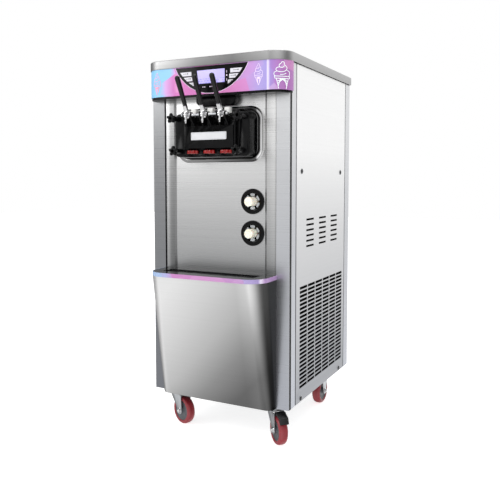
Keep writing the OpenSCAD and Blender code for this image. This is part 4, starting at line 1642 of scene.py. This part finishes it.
@dataclass
class Studio:
    """A plain pale studio with soft light, and the camera."""

    place: tuple[float, float, float] = (1.07511, -2.09378, 0.89179)
    yaw: float = 27.07
    pitch: float = 3.74
    lens: float = 45.081
    shift: float = -0.06
    compass: tuple[tuple[float, float], ...] = (
        (0.0, 0.35), (0.06, 0.95), (0.12, 0.8), (0.18, 0.85), (0.24, 0.8), (0.29, 1.15), (0.38, 1.1),
        (0.44, 0.6), (0.5, 0.15), (0.56, 0.4), (0.62, 1.0), (0.74, 1.1), (0.84, 0.35), (1.0, 0.35),
    )
    levels: tuple[tuple[float, float], ...] = (
        (0.0, 0.7), (0.2, 1.2), (0.34, 1.25), (0.42, 0.95), (0.48, 0.9), (0.53, 1.0), (0.8, 1.0),
        (1.0, 1.1),
    )

    def build(self) -> None:
        """Sets up the floor, the light and the camera."""
        scene = bpy.context.scene
        scene.view_settings.view_transform = "Standard"
        scene.view_settings.look = "None"
        self.camera(scene)
        self.floor()
        self.surroundings(scene)
        self.lamp("key_panel", (-2.3, -2.3, 2.4), (1.8, 1.8), 34.0)
        self.lamp("top_panel", (0.4, -0.4, 3.4), (2.4, 2.4), 40.0)

    def camera(self, scene: bpy.types.Scene) -> None:
        """The camera, level with the machine's upper half."""
        lens = bpy.data.cameras.new("camera")
        lens.lens, lens.sensor_width, lens.shift_y = self.lens, 36.0, self.shift
        eye = bpy.data.objects.new("camera", lens)
        eye.location = self.place
        eye.rotation_euler = (math.radians(90 - self.pitch), 0.0, math.radians(self.yaw))
        scene.collection.objects.link(eye)
        scene.camera = eye

    def floor(self) -> None:
        """A wide pale floor."""
        form = Form()
        bmesh.ops.create_grid(form.bm, x_segments=8, y_segments=8, size=12.0)
        ground = form.mesh("floor")
        recipe = Recipe("floor_paper").constant(roughness=1.0, emission_strength=0.75)
        recipe.shader.inputs["Specular IOR Level"].default_value = 0.0
        recipe.shader.inputs["Emission Color"].default_value = (1.0, 1.0, 1.0, 1.0)
        cloud = recipe.noise(recipe.place, 3.0)
        paper = recipe.ramp(cloud, [(0.3, (0.86, 0.86, 0.86)), (0.7, (0.9, 0.9, 0.9))])
        recipe.feed("Base Color", paper)
        ground.data.materials.append(recipe.material)
        ground.visible_glossy = False

    def surroundings(self, scene: bpy.types.Scene) -> None:
        """Soft studio walls: bright cards and darker gaps, by compass direction and height."""
        world = bpy.data.worlds.new("studio")
        scene.world = world
        world.use_nodes = True
        nodes, links = world.node_tree.nodes, world.node_tree.links
        nodes.clear()
        way = nodes.new("ShaderNodeTexCoord")
        split = nodes.new("ShaderNodeSeparateXYZ")
        links.new(way.outputs["Generated"], split.inputs[0])
        compass = nodes.new("ShaderNodeMath")
        compass.operation = "ARCTAN2"
        links.new(split.outputs["Y"], compass.inputs[0])
        links.new(split.outputs["X"], compass.inputs[1])
        share = nodes.new("ShaderNodeMapRange")
        share.inputs["From Min"].default_value = -math.pi
        share.inputs["From Max"].default_value = math.pi
        links.new(compass.outputs[0], share.inputs["Value"])
        around = nodes.new("ShaderNodeValToRGB")
        fill_ramp(around.color_ramp, [(spot, (value,) * 3) for spot, value in self.compass])
        links.new(share.outputs["Result"], around.inputs["Fac"])
        rise = nodes.new("ShaderNodeMapRange")
        rise.inputs["From Min"].default_value = -1.0
        links.new(split.outputs["Z"], rise.inputs["Value"])
        height = nodes.new("ShaderNodeValToRGB")
        fill_ramp(height.color_ramp, [(spot, (value,) * 3) for spot, value in self.levels])
        links.new(rise.outputs["Result"], height.inputs["Fac"])
        both = nodes.new("ShaderNodeMix")
        both.data_type, both.blend_type = "RGBA", "MULTIPLY"
        both.inputs[0].default_value = 1.0
        pair = [s for s in both.inputs if s.type == "RGBA"]
        links.new(around.outputs["Color"], pair[0])
        links.new(height.outputs["Color"], pair[1])
        light = nodes.new("ShaderNodeBackground")
        links.new(next(s for s in both.outputs if s.type == "RGBA"), light.inputs["Color"])
        white = nodes.new("ShaderNodeBackground")
        white.inputs["Color"].default_value = (1.0, 1.0, 1.0, 1.0)
        ray = nodes.new("ShaderNodeLightPath")
        choose = nodes.new("ShaderNodeMixShader")
        links.new(ray.outputs["Is Camera Ray"], choose.inputs[0])
        links.new(light.outputs[0], choose.inputs[1])
        links.new(white.outputs[0], choose.inputs[2])
        out = nodes.new("ShaderNodeOutputWorld")
        links.new(choose.outputs[0], out.inputs["Surface"])

    @staticmethod
    def lamp(name: str, place: Sequence[float], size: tuple[float, float], power: float) -> None:
        """A soft panel that faces the machine's middle.

        Args:
            name: Its name.
            place: Where it stands.
            size: Its width and height in metres.
            power: Its power in watts.
        """
        light = bpy.data.lights.new(name, "AREA")
        light.shape = "RECTANGLE"
        light.size, light.size_y = size
        light.energy = power
        stand = bpy.data.objects.new(name, light)
        stand.location = place
        aim = Vector((0.0, 0.0, 0.75)) - Vector(place)
        stand.rotation_euler = aim.to_track_quat("-Z", "Y").to_euler()
        bpy.context.scene.collection.objects.link(stand)


def stock_finishes(shop: Workshop) -> None:
    """Makes every finish of the machine.

    Args:
        shop: The workshop that keeps them.
    """
    # Painted reflections along the top cover's edge: darker and lighter bands from left to right.
    cover_painted_reflections = (
        (0.0, "6A6A6A"), (0.07, "BEBEBE"), (0.2, "ACACAC"), (0.4, "888888"), (0.65, "7E7E7E"),
        (0.85, "B0B0B0"), (1.0, "D0D0D0"),
    )
    # Painted reflections on the apron: dark rolled corners at both ends and bright bands beside them.
    apron_painted_reflections = (
        (0.0, "606060"), (0.05, "FFFFFF"), (0.1, "F0F0F0"), (0.8, "E6E6E6"), (0.9, "FFFFFF"),
        (0.975, "B4B4B4"), (1.0, "3C3C3C"),
    )
    # Painted shade on the apron: lighter at the upper left, darker towards the lower right.
    apron_painted_falloff = (
        (0.0, "FFFFFF"), (0.28, "EAEAEA"), (0.49, "D4D4D4"), (0.71, "A6A6A6"), (0.92, "7C7C7C"),
    )
    # Painted shade on the corner posts: the left posts darker than the right ones.
    post_painted_shade = ((0.0, "B4B4B4"), (0.2, "B4B4B4"), (0.8, "FFFFFF"), (1.0, "FFFFFF"))
    # Painted highlights and painted shade along the front panel's folded side edges.
    fold_painted_shading = (
        (0.0, "C8C8C8"), (0.02, "FFFFFF"), (0.05, "BCBCBC"), (0.098, "A8A8A8"), (0.102, "FFFFFF"),
        (0.898, "FFFFFF"), (0.902, "E2E2E2"), (0.95, "F6F6F6"), (0.98, "FFFFFF"), (1.0, "C8C8C8"),
    )
    # Where a steel's two colours differ they make a painted shade ramp between the two heights given
    # after them: darker low, lighter high.
    shop.stock(
        Slot.PANEL,
        BrushedSteel("side_steel", "989A9F", "FCFCFC", 150, 1000, roughness=0.34),
        BrushedSteel("rear_steel", "A2A3A6", "DADADB", 150, 1250),
        BrushedSteel("front_steel", "A6A7A8", "F0F0F0", 560, 1050, roughness=0.3, across=fold_painted_shading,
                     across_span=(-219.0, 219.0)),
        BrushedSteel("post_steel", "B4B7BF", "DCDDDF", 130, 1100, roughness=0.32, across=post_painted_shade,
                     across_span=(-267.0, 267.0)),
        BrushedSteel("apron_steel", "FFFFFF", "FFFFFF", 130, 520, roughness=0.34, across=apron_painted_reflections,
                     across_span=(-221.0, 221.0), painted_diagonal_shade=apron_painted_falloff),
    )
    shop.stock(
        Slot.COVER,
        # The cover, lid and hopper steels are also lighter higher up, a painted shade by height.
        BrushedSteel("cover_steel", "D8D8D8", "EAEAEA", 1260, 1300, roughness=0.4,
                     grain=(0.7, 600.0, 600.0), across=cover_painted_reflections, across_span=(-273.0, 273.0)),
        BrushedSteel("lid_steel", "DDDDDD", "E6E6E6", 1260, 1300, grain=(0.7, 600.0, 600.0)),
        BrushedSteel("hopper_steel", "C8C8C8", "DDDDDD", 1100, 1260, roughness=0.22),
        PolishedMetal("box_zinc", "B9BBBD", 0.4, 0.15, 25.0),
    )
    # Painted reflections across the bezel ring: darker towards the right, with a bright band along its
    # right side.
    bezel_painted_reflections = (
        (0.0, "B0B0B0"), (0.4, "9A9A9A"), (0.86, "5C5C5C"), (0.925, "6A6A6A"), (0.945, "FFFFFF"),
        (1.0, "F0F0F0"),
    )
    shop.stock(
        Slot.CHROME,
        PolishedMetal("chrome", "E9E9EA", 0.06, 0.06),
        # The bezel steel is darker higher up, a painted shade by height.
        BrushedSteel("bezel_steel", "E0E0E0", "B4B4B4", 950, 1130, roughness=0.12, streaks=0.02,
                     across=bezel_painted_reflections, across_span=(-168.0, 168.0)),
    )
    shop.stock(Slot.ZINC, PolishedMetal("zinc", "C3C6C9", 0.28, 0.16, 45.0))
    shop.stock(Slot.PAINT, Moulded("frame_enamel", "3B3D40", 0.5, worn="4A4D50"))
    shop.stock(
        Slot.RUBBER,
        Moulded("seal_rubber", "060606", 0.55, specular=0.25),
        # Near-black matte finish for the sheets behind the grilles, a stand-in for the shade inside the
        # cabinet.
        Moulded("slot_shade_black", "040404", 0.9, 400.0, 0.0006, specular=0.05),
        Moulded("gland_black", "101010", 0.5),
        Moulded("pedal_black", "0B0B0C", 0.45),
    )
    fascia_tones = (
        (0.0, "72B4DC"), (0.2, "7DB9DE"), (0.235, "C295CC"), (0.3, "B858A4"), (0.5, "BA64A8"),
        (0.66, "BE78B0"), (0.76, "B784C0"), (0.84, "8E96CC"), (0.89, "7488C6"), (0.93, "8450A4"),
        (0.965, "963C8E"), (1.0, "96327F"),
    )
    band_tones = (
        (0.0, "86AECB"), (0.25, "90A6C8"), (0.3, "AC80AE"), (0.6, "AC86B0"), (0.85, "928EB8"),
        (1.0, "7A6A9E"),
    )
    shop.stock(
        Slot.PRINT,
        PrintedFilm("fascia_print", fascia_tones),
        PrintedFilm("band_print", band_tones, facet=22.0, contrast=0.3),
        Moulded("mint_ink", "E3F3EE", 0.4),
        Moulded("pale_ink", "EBD8F2", 0.4),
        Moulded("coral_ink", "E88FA8", 0.4),
        Moulded("ink_black", "1B1B1F", 0.5),
    )
    shop.stock(
        Slot.GLOSS,
        Moulded("gloss_black", "020203", 0.1, 400.0, 0.00002, specular=0.16),
        Moulded("grip_black", "030304", 0.14, 500.0, 0.00002, specular=0.35),
    )
    shop.stock(
        Slot.SATIN,
        Moulded("satin_black", "030304", 0.25, specular=0.16),
        Moulded("tray_black", "08080A", 0.3, specular=0.25),
        Moulded("screw_black", "141416", 0.35),
    )
    shop.stock(Slot.GLASS, DisplayFilm("display_film"))
    shop.stock(
        Slot.WHITE,
        Moulded("key_white", "D6D4DC", 0.4, worn="CCCAD2"),
        Moulded("plate_white", "CFCFD2", 0.35, worn="C6C6C9"),
        Moulded("plate_grey", "9AA0A8", 0.4),
        Moulded("finger_white", "B4B8BC", 0.25, worn="A4A8AC"),
    )
    shop.stock(
        Slot.FOOD,
        Moulded("food_white", "F1F1EF", 0.3, worn="E6E6E2"),
        Moulded("beater_white", "EDEAE0", 0.4),
    )
    shop.stock(Slot.RED, Moulded("cap_red", "780808", 0.25, worn="8E0E0E"))
    shop.stock(Slot.WAFER, BakedWafer("wafer_pale"))
    shop.stock(Slot.TREAD, Moulded("tread_red", "80222A", 0.35, 120.0, 0.0001, worn="8E2E36"))
    shop.stock(
        Slot.CAST,
        Moulded("hub_grey", "4A4C50", 0.45, worn="55585C"),
        Moulded("motor_enamel", "3F5568", 0.4),
        Moulded("compressor_black", "111112", 0.4),
        Moulded("fan_grey", "5A5D60", 0.5),
    )
    shop.stock(Slot.FOAM, Moulded("foam", "E9E4D2", 0.8, 150.0, 0.0008, worn="DDD6BE"))
    shop.stock(Slot.FINS, PolishedMetal("fins", "BFC3C6", 0.35, 0.15, 80.0))


def main() -> None:
    """Builds the machine's looks, sub-assembly by sub-assembly."""
    logging.basicConfig(level=logging.INFO, format="%(name)s: %(message)s")
    Studio().build()
    shop = Workshop()
    stock_finishes(shop)
    for assembly in (Cabinet, Fascia, MixingHead, ConeHolder, Casters, Works):
        assembly(shop).build()
        LOG.info("%s is built", assembly.__name__)


if __name__ == "__main__":
    main()
